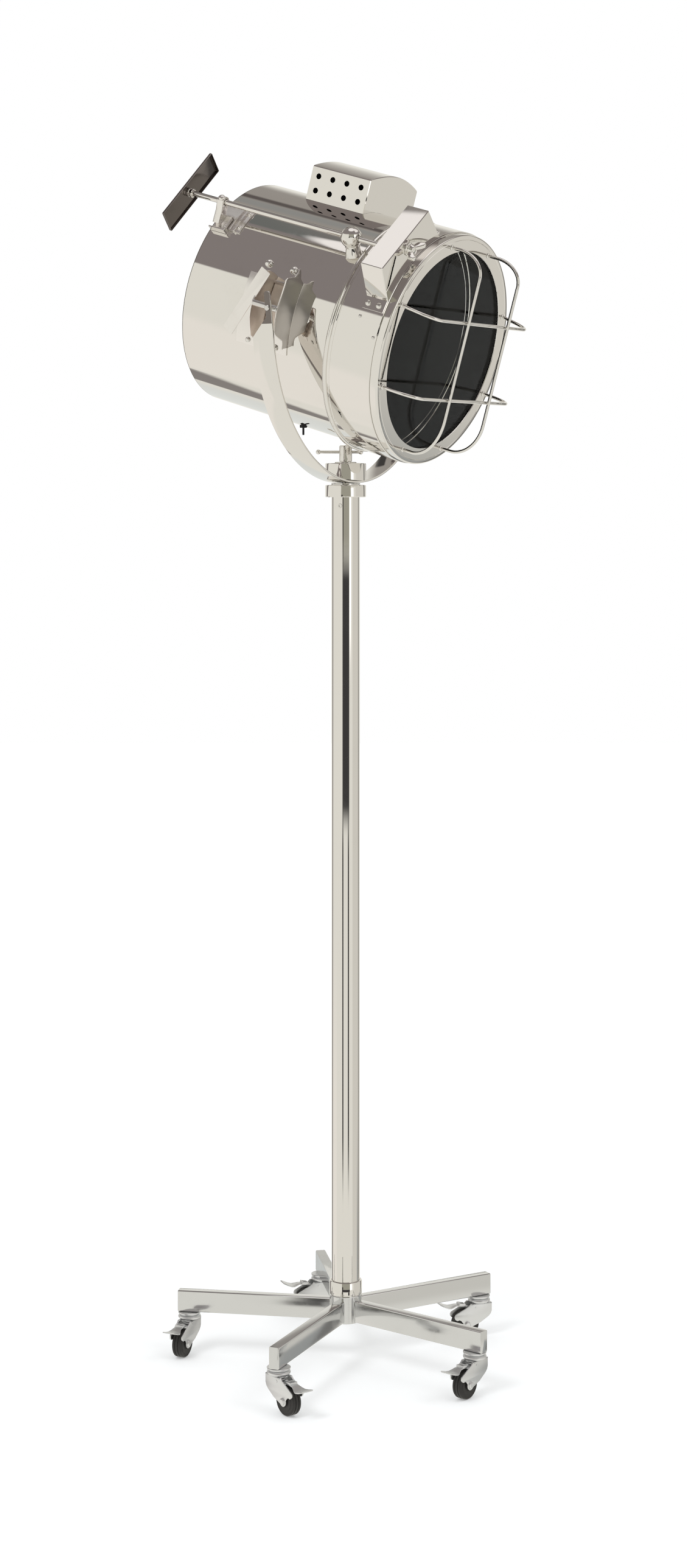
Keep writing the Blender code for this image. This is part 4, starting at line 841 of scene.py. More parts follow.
# Yoke: a half round of strap, each end cut on the slant to a narrow tongue
yoke = {"radius": 0.272, "drop": 0.018, "shift": 0.0045, "flare": {1: 2.0, -1: 9.0}, "thickness": 0.004,
        "wide": 0.042, "tongueRear": 0.0095, "top": 0.036, "tongueRound": 0.0045, "taperStart": -0.041,
        "taperEnd": -0.008, "paintedReflectionFrom": -0.020, "steps": 120,
        "rises": (-0.030, -0.019, -0.008, 0.005, 0.018, 0.028, 0.0315, 0.0325, 0.0335, 0.0345, 0.0354, 0.036)}
yokeBottom = pose["headHeight"] - yoke["drop"] - yoke["radius"]
clamp = {"saddleTop": 1.610, "saddleEdge": 0.0016, "saddleDeep": 0.004, "washer": 0.0197,
         "washerThick": 0.002, "head": 0.0115, "headTall": 0.0295, "shank": 0.006, "shankLong": 0.055,
         "bar": 0.0027, "barLong": 0.076, "ball": 0.0045, "slid": -0.011, "drop": 0.012}


def yokeEdges(rise):
    # The strap's rear and front edge at a height over the head's centre.
    half = yoke["wide"] / 2
    low, high = -half, half
    if rise > yoke["taperStart"]:
        share = min((rise - yoke["taperStart"]) / (yoke["taperEnd"] - yoke["taperStart"]), 1.0)
        low = -half + (yoke["tongueRear"] + half) * share
    left, corner = yoke["top"] - rise, yoke["tongueRound"]
    if left < corner:
        cut = corner - sqrt(max(corner ** 2 - (corner - left) ** 2, 0))
        low, high = low + cut, high - cut - 0.0005
    return low, high


def yokeStations():
    r = yoke["radius"] - yoke["thickness"] / 2
    centre = Vector((0, yoke["shift"], -yoke["drop"]))
    taper = yoke["taperStart"]

    def arm(side):
        flare = radians(yoke["flare"][side])
        outward = Vector((0, side * cos(flare), -sin(flare)))
        up = Vector((0, side * sin(flare), cos(flare)))
        start = centre + outward * r
        rises = [start.z + (taper - start.z) * share for share in (0.3, 0.6)] if start.z < taper else []
        rises += [rise for rise in (taper, *yoke["rises"]) if rise > start.z + 0.001]
        return [(start + up * ((rise - start.z) / cos(flare)), outward) for rise in rises]

    first, last = 180 + yoke["flare"][-1], 360 - yoke["flare"][1]
    bend = []
    for step in range(yoke["steps"] + 1):
        t = radians(first + (last - first) * step / yoke["steps"])
        outward = Vector((0, cos(t), sin(t)))
        bend.append((centre + outward * r, outward))
    return [(place, outward, Vector((1, 0, 0)), *yokeEdges(place.z))
            for place, outward in arm(-1)[::-1] + bend + arm(1)]


def makeYoke():
    lift = panPlace @ movedBy(0, 0, pose["headHeight"])
    mesh = strap("yokeStrap", yokeStations(), yoke["thickness"])
    made = piece("yokeStrap", mesh, "polishedNickel", "yoke_frame", lift, ["yoke"], extra=["darkPaintedReflection"])
    # The tongues' outer faces above a given height take the near-black second finish: a painted dark
    # reflection
    for face in made.data.polygons:
        outer = abs(face.normal.y) > 0.7 and face.normal.y * face.center.y > 0
        if face.center.z > yoke["paintedReflectionFrom"] and outer:
            face.material_index = 1
    bore, edge = clamp["shank"] + gap, clamp["saddleEdge"]
    wide, top, low = stand["collar"], clamp["saddleTop"], yokeBottom - clamp["saddleDeep"]
    profile = [(bore, top), (wide - edge, top), (wide - edge * 0.3, top - edge * 0.3), (wide, top - edge),
               (wide, low), (bore, low)]
    saddle = turnedPiece("topSaddle", profile, 96, "polishedNickel", "yoke_frame", panPlace, "top_saddle")
    inner = yoke["radius"] - yoke["thickness"] - gap
    hollow = spun("hollow", [(inner + 0.05, 0.1), (inner + 0.05, -0.1), (inner, -0.1), (inner, 0.1)], 240)
    hollowPlace = panPlace @ movedBy(0, yoke["shift"], pose["headHeight"] - yoke["drop"]) @ alongX
    cutWith(saddle, [(hollow, hollowPlace)])
    shaded(saddle.data, 30)
    low, wide = top + gap, clamp["washer"]
    high = low + clamp["washerThick"]
    washer = [(bore, high), (wide - 0.0006, high), (wide, high - 0.0006), (wide, low + 0.0004),
              (wide - 0.0004, low), (bore, low)]
    turnedPiece("clampWasher", washer, 72, "turnedSteel", "yoke_frame", panPlace, "clamp_washer")
    makeClamp(high + gap)


def makeClamp(low):
    high, w, shank = low + clamp["headTall"], clamp["head"], clamp["shank"]
    foot = clamp["saddleTop"] - clamp["shankLong"]
    screw = [(0, high), (w - 0.0022, high), (w - 0.0008, high - 0.0006), (w, high - 0.0022), (w, low + 0.001),
             (w - 0.001, low), (shank, low), (shank, foot), (0, foot)]
    clampScrew = turnedPiece("clampScrew", screw, 72, "polishedNickel", "clamp", poleFoot, "clamp_screw")
    height = high - clamp["drop"]
    bar, half, ball = clamp["bar"], clamp["barLong"] / 2, clamp["ball"]
    cutWith(clampScrew, [(plug(bar + gap, 0.03), poleFoot @ movedBy(0, 0, height) @ alongX)])

    def knob(middle, turns):
        return [(ball * sin(radians(t)), middle - ball * cos(radians(t))) for t in turns]

    profile = [(0, -half - ball)] + knob(-half, (25, 50, 75, 100, 120, 140))
    profile += [(bar, -half + ball * 0.85), (bar, half - ball * 0.85)]
    profile += knob(half, (40, 60, 80, 105, 130, 155)) + [(0, half + ball)]
    turnedPiece("tommyBar", profile, 32, "polishedNickel", "tommy",
                poleFoot @ movedBy(clamp["slid"], 0, height) @ alongX, "tommy_bar")


makeYoke()
print("yoke made")

# Castors
castor = {"wheel": 0.025, "wide": 0.018, "groove": 0.0012, "shoulder": 0.0028, "tall": 0.075, "trail": 0.028,
          "sheet": 0.0025, "play": 0.0015, "axle": 0.004, "eye": 0.0085, "race": 0.0205, "raceTall": 0.0125,
          "stem": 0.005, "stemLong": 0.022, "turns": (-114, -52, -130, -160, -160),
          "lifts": (5, 2, 5, 12, 12),
          "pinX": 0.010, "pin": 0.002, "pinPlay": 0.0006, "knuckle": 0.0014, "reach": 0.080, "dip": 0.0085,
          "root": 0.0075, "tip": 0.015, "thin": 0.002}


def tyreProfile():
    r, half, corner = castor["wheel"], castor["wide"] / 2, castor["shoulder"]
    turns = [radians(t) for t in (20, 45, 70)]
    upper = [(castor["axle"] + 0.0006, half - 0.0012), (0.0095, half - 0.0012), (0.0100, half - 0.0002),
             (0.0165, half), (0.0175, half - 0.0009), (0.0205, half - 0.0011), (0.0222, half - 0.0004)]
    upper += [(r - corner + corner * sin(t), half - corner + corner * cos(t)) for t in turns]
    upper += [(r, half - 0.0032), (r, 0.0042), (r - castor["groove"], 0.0035), (r - castor["groove"], 0.0026),
              (r, 0.0019)]
    return upper + [(x, -h) for x, h in upper[::-1]]


def makeCastors():
    c, r, sheet = castor, castor["race"], castor["sheet"]
    reach = legs["reach"] - legs["inset"]
    tall, raceLow = c["tall"], c["tall"] - c["raceTall"]
    top = raceLow - gap
    innerHalf = c["wide"] / 2 + c["play"]
    half = innerHalf + sheet
    race = [(0, tall + c["stemLong"]), (c["stem"], tall + c["stemLong"]), (c["stem"], tall - gap),
            (r - 0.0008, tall - gap), (r, tall - 0.0009), (r - 0.0003, tall - 0.0026),
            (r * 0.86, tall - 0.0032), (r * 0.84, tall - 0.0046), (r * 0.90, tall - 0.0052)]
    race += arc((r - 0.0042, raceLow + 0.0037), (0.0042, 0.0037), 80, -70, 7)
    race += [(r * 0.78, raceLow), (0, raceLow)]
    raceMesh = spun("castorRace", race, 64)
    tyreMesh = spun("castorTyre", tyreProfile(), 96)
    head = [(0.0062, half), (0.0058, half + 0.0018), (0.0042, half + 0.003), (0, half + 0.003)]
    axleMesh = spun("castorAxle", mirrored([(c["axle"], half)] + head), 32)
    head = [(0.0028, half), (0.0028, half + 0.0005), (0, half + 0.0008)]
    pinMesh = spun("castorPin", mirrored([(c["pin"], half)] + head), 20)
    axle = (c["trail"], c["wheel"])
    cheek = [(-r, top), (-r, 0.047), (-0.0185, 0.0415), (-0.014, 0.037), (0.002, 0.027)]
    cheek += arc(axle, c["eye"], 218, 380, 15)
    cheek += [(axle[0] + 0.0100, axle[1] + 0.0048), (axle[0] + 0.0120, axle[1] + 0.0078)]
    cheek += arc((axle[0] + 0.019, axle[1] + 0.015), 0.006, 240, 425, 13)
    cheek += [(r + 0.004, top - 0.004), (r, top)]
    cheekMesh = cutSheet("castorCheek", [cheek], sheet, 0.0004)
    window = c["root"] + c["play"]
    crown = [(-r, -half), (r * 0.98, -half), (r * 0.98, -window), (r * 0.60, -window), (r * 0.60, window),
             (r * 0.98, window), (r * 0.98, half), (-r, half)]
    crownMesh = cutSheet("castorCrown", [crown], sheet, 0.0004)
    middle = innerHalf + sheet / 2
    pinZ = top - sheet - (c["pin"] + c["pinPlay"] + c["knuckle"]) - 3 * gap
    across = turnedBy(90, "X")
    forkMesh = joined("castorFork", [
        (cheekMesh, movedBy(0, middle, 0) @ upright), (cheekMesh, movedBy(0, -middle, 0) @ upright),
        (crownMesh, movedBy(0, 0, top - sheet / 2)), (axleMesh, movedBy(axle[0], 0, axle[1]) @ across),
        (pinMesh, movedBy(c["pinX"], 0, pinZ) @ across)])
    pedalMesh = makePedal()
    wheelSeat = movedBy(c["trail"], 0, c["wheel"]) @ across
    for number, (heading, turn, lift) in enumerate(zip(legs["bearings"], c["turns"], c["lifts"]), 1):
        t = radians(heading)
        place = poleFoot @ movedBy(reach * cos(t), reach * sin(t), 0) @ turnedBy(turn, "Z")
        pedalSeat = movedBy(c["pinX"], 0, pinZ) @ turnedBy(-lift, "Y")
        for name, mesh, look, body, seat, node in (
                ("Race", raceMesh, "zincPlate", "stand", still, "race"),
                ("Fork", forkMesh, "zincPlate", f"castor_{number}_swivelling", still, "fork"),
                ("Tyre", tyreMesh, "tyreRubber", f"castor_{number}_rolling", wheelSeat, "wheel"),
                ("Pedal", pedalMesh, "zincPlate", f"castor_{number}_brake", pedalSeat, "pedal")):
            piece(f"castor{name}{number}", mesh.copy(), look, body, place @ seat, [f"castor_{number}_{node}"])


def makePedal():
    # A curled root on the pin, a web and a flared tip that turns up.
    c = castor
    half, dip, tip = c["thin"] / 2, -c["dip"], c["reach"] - c["pinX"]
    path = arc((0, 0), c["pin"] + c["pinPlay"] + gap + half, 75, 285, 7)
    path += [(x, z + half) for x, z in (
        (0.007, -0.0036), (0.012, -0.002), (0.022, -0.0026), (0.032, -0.003), (0.038, -0.0040),
        (0.043, -0.0064),
        (0.048, dip), (0.054, dip - 0.0002), (tip - 0.008, dip + 0.0012), (tip - 0.003, dip + 0.0024),
        (tip, dip + 0.003))]
    stations = []
    for index, (x, z) in enumerate(path):
        before, after = path[max(index - 1, 0)], path[min(index + 1, len(path) - 1)]
        run = Vector((after[0] - before[0], 0, after[1] - before[1])).normalized()
        wide = c["root"]
        if x > 0.040:
            wide = c["root"] + (c["tip"] - c["root"]) * min((x - 0.040) / 0.016, 1.0) ** 0.8
        if x > tip - 0.004:
            wide -= 0.0035 * min(max((x - tip + 0.004) / 0.004, 0.0), 1.0)
        stations.append((Vector((x, 0, z)), Vector((-run.z, 0, run.x)), Vector((0, 1, 0)), -wide, wide))
    lever = strap("castorPedal", stations, c["thin"], 0.0005)
    outer = roundedOutline([(0.0195, -0.0078), (0.0330, -0.0078), (0.0330, 0.0078), (0.0195, 0.0078)],
                           0.0016, 3)
    inner = roundedOutline([(0.0217, -0.0056), (0.0308, -0.0056), (0.0308, 0.0056), (0.0217, 0.0056)],
                           0.0010, 3)
    loop = cutSheet("loop", [outer, inner], 0.0046, 0.0005)
    return joined("castorPedal", [(lever, still), (loop, movedBy(0, 0, 0.0002))])


makeCastors()
print("castors made")


def ringSlice(inner, outer, start, end, low, high, edge=0.0005, count=15):
    # A piece of a ring round X between two bearings, its edges softened.
    outline = [(low, inner + edge), (low + edge, inner), (high - edge, inner), (high, inner + edge),
               (high, outer - edge), (high - edge, outer), (low + edge, outer), (low, outer - edge)]
    bearings = [start + (end - start) * index / (count - 1) for index in range(count)]
    return lofted("ringSlice", [[roundDrum(r, bearing, along) for along, r in outline]
                                for bearing in bearings])


def domeHead(radius, height, rim=0.0, slot=0.0):
    # A domed screw or acorn nut with its flat side at z 0, on a thin washer where rim is given.
    base = 0.0012 if rim else 0.0
    if rim:
        profile = [(0, -0.0005), (rim, -0.0005), (rim, 0.0009), (rim - 0.0004, base), (radius, base)]
    else:
        profile = [(0, -0.0005), (radius * 0.96, -0.0005)]
    profile += [(radius, base + height * 0.12)]
    profile += [(radius * cos(radians(t)), base + height * (0.12 + 0.88 * sin(radians(t))))
                for t in (12, 26, 40, 54, 68, 80)]
    mesh = spun("domeHead", profile + [(0, base + height)], 32)
    if slot:
        low = (-radius * 1.1, -slot / 2, base + height * 0.72)
        high = (radius * 1.1, slot / 2, base + height * 1.3)
        made = linked("slotted", mesh)
        cutWith(made, [(boxMesh(low, high, 0.0001), still)])
        mesh = made.data
        bpy.data.objects.remove(made, do_unlink=True)
    return mesh


# Trunnions: on each side two bent brackets, a cross bar, a pivot screw and their fasteners
trunnion = {"front": 0.019, "rear": -0.0355, "sheet": 0.0025, "foot": 0.0558, "start": 73.8, "end": 109.5,
            "cheekStart": 72.5, "cheekEnd": 105.5, "barReach": 0.249, "bar": 0.006, "barEdge": 0.0006,
            "rise": 0.011, "pin": 0.0025, "pinStart": 0.002, "flange": 0.2473, "flangeSheet": 0.0015,
            "roll": 0.0030, "rollEdge": 0.0004, "rollStart": -0.0545, "rollLong": 0.0515, "rollBearing": 75.6}
# Each fastener: place along the drum, bearing, radius, height, washer, and whether it's on the foot
trunnionFasteners = ((-0.064, 67.5, 0.0072, 0.0066, 0.0, False), (-0.010, 67.5, 0.0072, 0.0066, 0.0, False),
                     (-0.065, 107.0, 0.0046, 0.0036, 0.0, True),
                     (-0.0065, 107.0, 0.0050, 0.0042, 0.0062, True))
# Outlines across the head, each from the bottom end of its foot round to the top
frontCheek = ((-0.2085, -0.056), (-0.2105, -0.0585), (-0.2125, -0.0560), (-0.2140, -0.0480),
              (-0.2175, -0.0425), (-0.2260, -0.0395), (-0.2380, -0.0355), (-0.2440, -0.0325),
              (-0.2472, -0.0290), (-0.2505, -0.0150), (-0.2535, 0.0020), (-0.2540, 0.0100),
              (-0.2526, 0.0240), (-0.2500, 0.0400), (-0.2478, 0.0560), (-0.2470, 0.0640), (-0.2440, 0.0668),
              (-0.2290, 0.0690), (-0.2230, 0.0706), (-0.2170, 0.0790), (-0.2130, 0.0862), (-0.2095, 0.0826),
              (-0.2062, 0.0760), (-0.2040, 0.0690))
rearCheek = ((-0.2110, -0.0560), (-0.2345, -0.0472), (-0.2440, -0.0300), (-0.2505, -0.0156),
             (-0.2528, -0.0030), (-0.2530, 0.0060), (-0.2515, 0.0150), (-0.2480, 0.0230), (-0.2473, 0.0300),
             (-0.2473, 0.0640), (-0.2440, 0.0680), (-0.2200, 0.0690), (-0.2090, 0.0670))
rearFlange = ((-0.0368, 0.0745), (-0.0165, 0.0655), (-0.0660, -0.0531), (-0.0867, -0.0435))


def makeTrunnion(side):
    label, t = "Left" if side > 0 else "Right", trunnion
    seat, sheet = drum["radius"] + gap, t["sheet"]
    mirror = Matrix.Scale(-side, 4, (0, 1, 0))
    base = arc((0, 0), seat, 90 + t["cheekStart"], 90 + t["cheekEnd"], 25)
    flange = cutSheet("flange", [roundedOutline(rearFlange, 0.0012, 3)], t["flangeSheet"])
    for name, place, back, edge, paintedFaceLook in (
            ("Front", t["front"], t["rear"] + gap, frontCheek, "cheekPaintedShade"),
            ("Rear", t["rear"], t["rear"] - t["foot"], rearCheek, "kitePaintedReflection")):
        middle = place - sheet / 2
        foot = ringSlice(seat, seat + sheet, t["start"], t["end"], back, middle)
        cheek = cutSheet("cheek", [base + list(edge)], sheet, 0.0005)
        meshes = [(cheek, mirror @ movedBy(middle, 0, 0) @ facingX), (foot, mirror)]
        if name == "Rear":
            meshes.append((flange, mirror @ movedBy(0, -t["flange"], 0) @ upright))
        mesh = facedOut(joined("trunnionCheek", meshes))
        made = piece(f"trunnion{name}{label}", mesh, "bracketSheet", "head", headPlace,
                     [f"trunnion_bracket_{label.lower()}_{name.lower()}"], extra=[paintedFaceLook])
        # The cheeks' proud flat faces take the second finish: painted shade on the front cheeks, a painted
        # reflection on the rear ones
        for face in made.data.polygons:
            proud = sqrt(face.center.y ** 2 + face.center.z ** 2) > seat + sheet + 0.0005
            face.material_index = 1 if abs(face.normal.x) > 0.97 and proud else 0
    bar = barProfile(t["bar"], t["front"] - sheet - t["rear"] - 2 * gap, t["barEdge"])
    turnedPiece(f"trunnionBar{label}", bar, 48, "turnedSteel", "head",
                headPlace @ movedBy(t["rear"] + gap, side * t["barReach"], t["rise"]) @ alongX,
                f"trunnion_bar_{label.lower()}")
    fixings = []
    for along, bearing, radius, tall, rim, onFoot in trunnionFasteners:
        lift = 0.0006 + (sheet + gap if onFoot else 0.0)
        fixings.append((domeHead(radius, tall, rim), mirror @ drumFrame(seat + lift, bearing, along)))
    mesh = facedOut(joined("trunnionFixings", fixings))
    piece(f"trunnionFixings{label}", mesh, "brightWire", "head", headPlace)
    roll = spun("roll", barProfile(t["roll"], t["rollLong"], t["rollEdge"]), 24)
    start = roundDrum(seat + sheet + t["roll"], t["rollBearing"], t["rollStart"])
    mesh = facedOut(joined("trunnionRoll", [(roll, mirror @ Matrix.Translation(start) @ alongX)]))
    # The roll takes the darker cheek finish: painted shade
    piece(f"trunnionRoll{label}", mesh, "cheekPaintedShade", "head", headPlace)


def makePivots():
    pin = trunnion["pin"]
    for side, label in ((1, "Left"), (-1, "Right")):
        inner = trunnion["barReach"] - trunnion["pinStart"]
        flare = radians(yoke["flare"][side])
        start = yoke["radius"] * cos(flare) + side * yoke["shift"]
        rise = pose["pivotRise"] + yoke["drop"] + yoke["radius"] * sin(flare)
        long = start + rise * sin(flare) / cos(flare) - inner
        profile = [(0, 0), (pin, 0), (pin, long + 0.0002), (0.0048, long + 0.0002), (0.0052, long + 0.0008),
                   (0.0050, long + 0.0022), (0.0038, long + 0.0034), (0.0016, long + 0.0039),
                   (0, long + 0.0040)]
        turnedPiece(f"pivotScrew{label}", profile, 32, "turnedSteel", "head",
                    tiltPlace @ movedBy(0, side * inner, 0) @ turnedBy(-90 * side, "X"),
                    f"pivot_pin_{label.lower()}")


makeTrunnion(1)
makeTrunnion(-1)
makePivots()
print("trunnions made")

# Vent box on the roof
vent = {"rear": -0.112, "front": 0.014, "near": -0.050, "far": 0.113, "nearTop": 0.257, "farTop": 0.253,
        "peak": 0.271, "sheet": 0.0018, "corner": 0.0016, "edge": 0.0012, "hole": 0.0053, "firstHole": 0.214,
        "rowStep": 0.026, "margin": 0.017, "low": 0.12, "hollowLow": 0.11}


def ventRoof(t):
    # The roof's height at a share of the way across it.
    eave = vent["nearTop"] + (vent["farTop"] - vent["nearTop"]) * t
    return eave + (vent["peak"] - eave) * sin(pi * t) ** 0.9


def ventOutline(inset, low):
    near, far = vent["near"] + inset, vent["far"] - inset
    roof = [(near + (far - near) * index / 32, ventRoof(index / 32) - inset) for index in range(33)]
    return [(near, low)] + roof + [(far, low)]


def extruded(name, outline, length, edge=0.0):
    # An outline (y, z) drawn out along X from its middle, its end edges softened.
    half, rings = length / 2, []
    slices = [(-half, edge), (-half + edge, 0), (half - edge, 0), (half, edge)]
    for x, inset in slices if edge else slices[::3]:
        ring = []
        for index, point in enumerate(outline):
            if not inset:
                ring.append((x, *point))
                continue
            here = Vector(point)
            first = (here - Vector(outline[index - 1])).normalized()
            second = (Vector(outline[(index + 1) % len(outline)]) - here).normalized()
            normal = Vector((first.y + second.y, -first.x - second.x)).normalized()
            grow = inset / max(normal.dot(Vector((first.y, -first.x))), 0.4)
            ring.append((x, here.x + normal.x * grow, here.y + normal.y * grow))
        rings.append(ring)
    return lofted(name, rings)


def makeVent():
    v, sheet = vent, vent["sheet"]
    length = v["front"] - v["rear"]
    place = headPlace @ movedBy((v["rear"] + v["front"]) / 2, 0, 0)
    body, soft = ventOutline(0.0, v["low"]), []
    for index, point in enumerate(body):
        if index in (1, len(body) - 2):
            here = Vector(point)
            before, after = (((Vector(body[index + step]) - here).normalized() * v["corner"])
                             for step in (-1, 1))
            soft += [tuple(here + before * share + after * (1 - share)) for share in (1.0, 0.55, 0.2, 0.0)]
        else:
            soft.append(point)
    box = piece("ventBox", extruded("ventBox", soft, length, v["edge"]), "polishedNickel", "head", place,
                ["vent_box"])
    cuts = [(extruded("hollow", ventOutline(sheet, v["hollowLow"]), length - 2 * sheet), place),
            (plug(drum["radius"] + 0.0001, 0.5, 360), drumPlace)]
    for row in range(2):
        for column in range(4):
            x = v["rear"] + v["margin"] + (length - 2 * v["margin"]) * column / 3
            z = v["firstHole"] + row * v["rowStep"]
            cuts.append((plug(v["hole"], 0.2), headPlace @ movedBy(x, 0.03, z) @ turnedBy(90, "X")))
    cutWith(box, cuts)
    mesh = box.data
    mesh.materials.clear()
    for finish in ("polishedNickel", "paintedShadeDark"):
        mesh.materials.append(looks[finish])
    near, far = v["near"] + sheet, v["far"] - sheet
    # The box's inner faces take the near-black finish: painted shade inside the box
    for face in mesh.polygons:
        x, y, z = face.center
        inner = abs(x) < length / 2 - sheet + 0.0002 and near - 0.0002 < y < far + 0.0002
        roof = ventRoof(min(max((y - v["near"]) / (v["far"] - v["near"]), 0), 1)) - sheet
        face.material_index = 1 if inner and z < roof + 0.0004 else 0
    shaded(mesh, 28)


makeVent()
print("vent box made")


# Side gear: bridge box, wing screw, control rod, paddle, ball post and rear bracket
gear = {"bearing": 46.5, "reach": 0.230, "rear": 0.152, "front": 0.196, "top": 0.262, "topHalf": 0.076,
        "footHalf": 0.085, "low": 0.15, "hollowLow": 0.14, "sheet": 0.002, "corner": 0.0022, "edge": 0.0012,
        "pad": 5.5, "padThick": 0.0022, "padOverlap": 0.3, "screwAt": 3.1,
        "screws": ((0.1615, 35), (0.1835, -20)),
        "rod": 0.005, "bore": 0.0056, "rodRear": -0.281, "rodFront": 0.172, "boss": 0.008, "wingReach": 0.240,
        "wingBore": 0.0036}
gearPlace = headPlace @ turnedBy(gear["bearing"], "X")


def makeBridge():
    g, sheet = gear, gear["sheet"]
    middle, length = (g["front"] + g["rear"]) / 2, g["front"] - g["rear"]
    seat = barrel["radius"] + gap
    footHigh = sqrt(seat ** 2 - g["footHalf"] ** 2)

    def outline(inset, low):
        foot, top = g["footHalf"] - inset, g["topHalf"] - inset
        return [(-foot, low), (-foot, footHigh), (-top, g["top"] - inset), (top, g["top"] - inset),
                (foot, footHigh), (foot, low)]

    place = gearPlace @ movedBy(middle, 0, 0)
    soft = roundedOutline(outline(0.0, g["low"]), g["corner"], 4)
    box = piece("bridgeBox", extruded("bridgeBox", soft, length, g["edge"]), "polishedNickel", "head", place,
                ["bridge_box"])
    cutWith(box, [(extruded("hollow", outline(sheet, g["hollowLow"]), length - 2 * sheet), place),
                  (plug(seat, 0.5, 360), drumPlace),
                  (plug(g["bore"], 0.01), gearPlace @ movedBy(g["rear"], 0, g["reach"]) @ alongX),
                  (plug(g["wingBore"], 0.01), gearPlace @ movedBy(g["front"], 0, g["wingReach"]) @ alongX)])
    shaded(box.data, 28)
    footStart = 180 / pi * asin(g["footHalf"] / seat) - g["padOverlap"]
    pads, screws = [], []
    for sign in (1, -1):
        start, end = (g["bearing"] + sign * (footStart + more) for more in (0, g["padOverlap"] + g["pad"]))
        pads.append((ringSlice(seat, seat + g["padThick"], start, end, g["rear"] + 0.0004,
                               g["front"] - 0.0004, 0.0007, 9), still))
        for along, turn in g["screws"]:
            screwPlace = drumFrame(seat + g["padThick"] + gap,
                                   g["bearing"] + sign * (footStart + g["screwAt"]), along)
            screws.append((domeHead(0.0052, 0.0034, 0.0, 0.0011), screwPlace @ turnedBy(turn, "Z")))
    piece("bridgeFeet", facedOut(joined("bridgeFeet", pads)), "polishedNickel", "head", headPlace)
    piece("bridgeScrews", joined("bridgeScrews", screws), "brightWire", "head", headPlace)


# The wing screw's knob as (radius, height), and one ear as (height, reach)
wing = {"knob": ((0, 0), (0.0112, 0), (0.0116, 0.0008), (0.0116, 0.0022), (0.0104, 0.0030), (0.0096, 0.0034),
                 (0.0102, 0.0042), (0.0102, 0.0056), (0.0092, 0.0064), (0.0086, 0.0110), (0.0070, 0.0130),
                 (0, 0.0136)),
        "ear": ((0.0040, 0.0015), (0.0040, 0.0075), (0.0075, 0.0180), (0.0145, 0.0215), (0.0235, 0.0213),
                (0.0250, 0.0150), (0.0200, 0.0100), (0.0120, 0.0030)),
        "corner": 0.0042, "thick": 0.0078, "edge": 0.0024, "shank": 0.003, "shankEnds": (-0.010, 0.001)}


def makeWingScrew():
    w, shank = wing, wing["shank"]
    low, high = w["shankEnds"]
    solids = [(w["knob"], 36), ([(0, low), (shank, low), (shank, high), (0, high)], 24)]
    meshes = [(spun("turned", profile, steps), alongX) for profile, steps in solids]
    ear = roundedOutline(w["ear"], w["corner"], 4)
    for sign in (1, -1):
        meshes.append((cutSheet("ear", [[(x, sign * y) for x, y in ear]], w["thick"], w["edge"]), still))
    piece("wingScrew", joined("wingScrew", meshes), "polishedNickel", "wing",
          gearPlace @ movedBy(gear["front"] + gap, 0, gear["wingReach"]), ["wing_screw"], smooth=50)


paddle = {"long": 0.157, "wide": 0.045, "thick": 0.0045, "sheet": 0.0012, "corner": 0.0018, "bearing": 50.0,
          "shift": (0, 0.004, -0.003)}


def makeControlRod():
    g, r, boss = gear, gear["rod"], gear["boss"]
    rear, front = g["rodRear"] + gap, g["rodFront"]
    ends = [(0, 0), (boss - 0.001, 0), (boss, 0.0008), (boss, 0.0040), (boss - 0.0009, 0.0046),
            (boss - 0.0009, 0.0062), (boss, 0.0068), (boss, 0.0102), (boss - 0.0008, 0.0110), (r, 0.0112)]
    profile = [(x, rear + h) for x, h in ends] + [(r, front - 0.0008), (r - 0.0008, front), (0, front)]
    place = gearPlace @ movedBy(0, 0, g["reach"])
    turnedPiece("controlRod", profile, 48, "polishedNickel", "rod", place @ alongX, "control_rod")
    p, thin = paddle, paddle["sheet"]
    long, wide = p["long"] / 2, p["wide"] / 2
    outline = roundedOutline([(-long, -wide), (long, -wide), (long, wide), (-long, wide)], p["corner"], 4)
    inner = [(x - thin * (1 if x > 0 else -1), y - thin * (1 if y > 0 else -1)) for x, y in outline]
    back, rim = g["rodRear"] - thin, p["thick"] - thin
    meshes = [(cutSheet("plate", [outline], thin), movedBy(back + thin / 2, 0, 0) @ facingX),
              (cutSheet("rim", [outline, inner], rim), movedBy(back + thin + rim / 2, 0, 0) @ facingX)]
    level = turnedBy(p["bearing"] - g["bearing"], "X") @ movedBy(*p["shift"])
    # The paddle's near-black finish is a painted dark reflection
    piece("paddlePlate", joined("paddlePlate", meshes), "darkPaintedReflection", "rod", place @ level, ["paddle"])


ballPost = {"ball": 0.019, "along": 0.075, "baseBearing": 50.5, "baseAlong": 0.082, "top": 0.0118,
            "foot": 0.0155, "neck": 0.0180, "sink": 0.002}


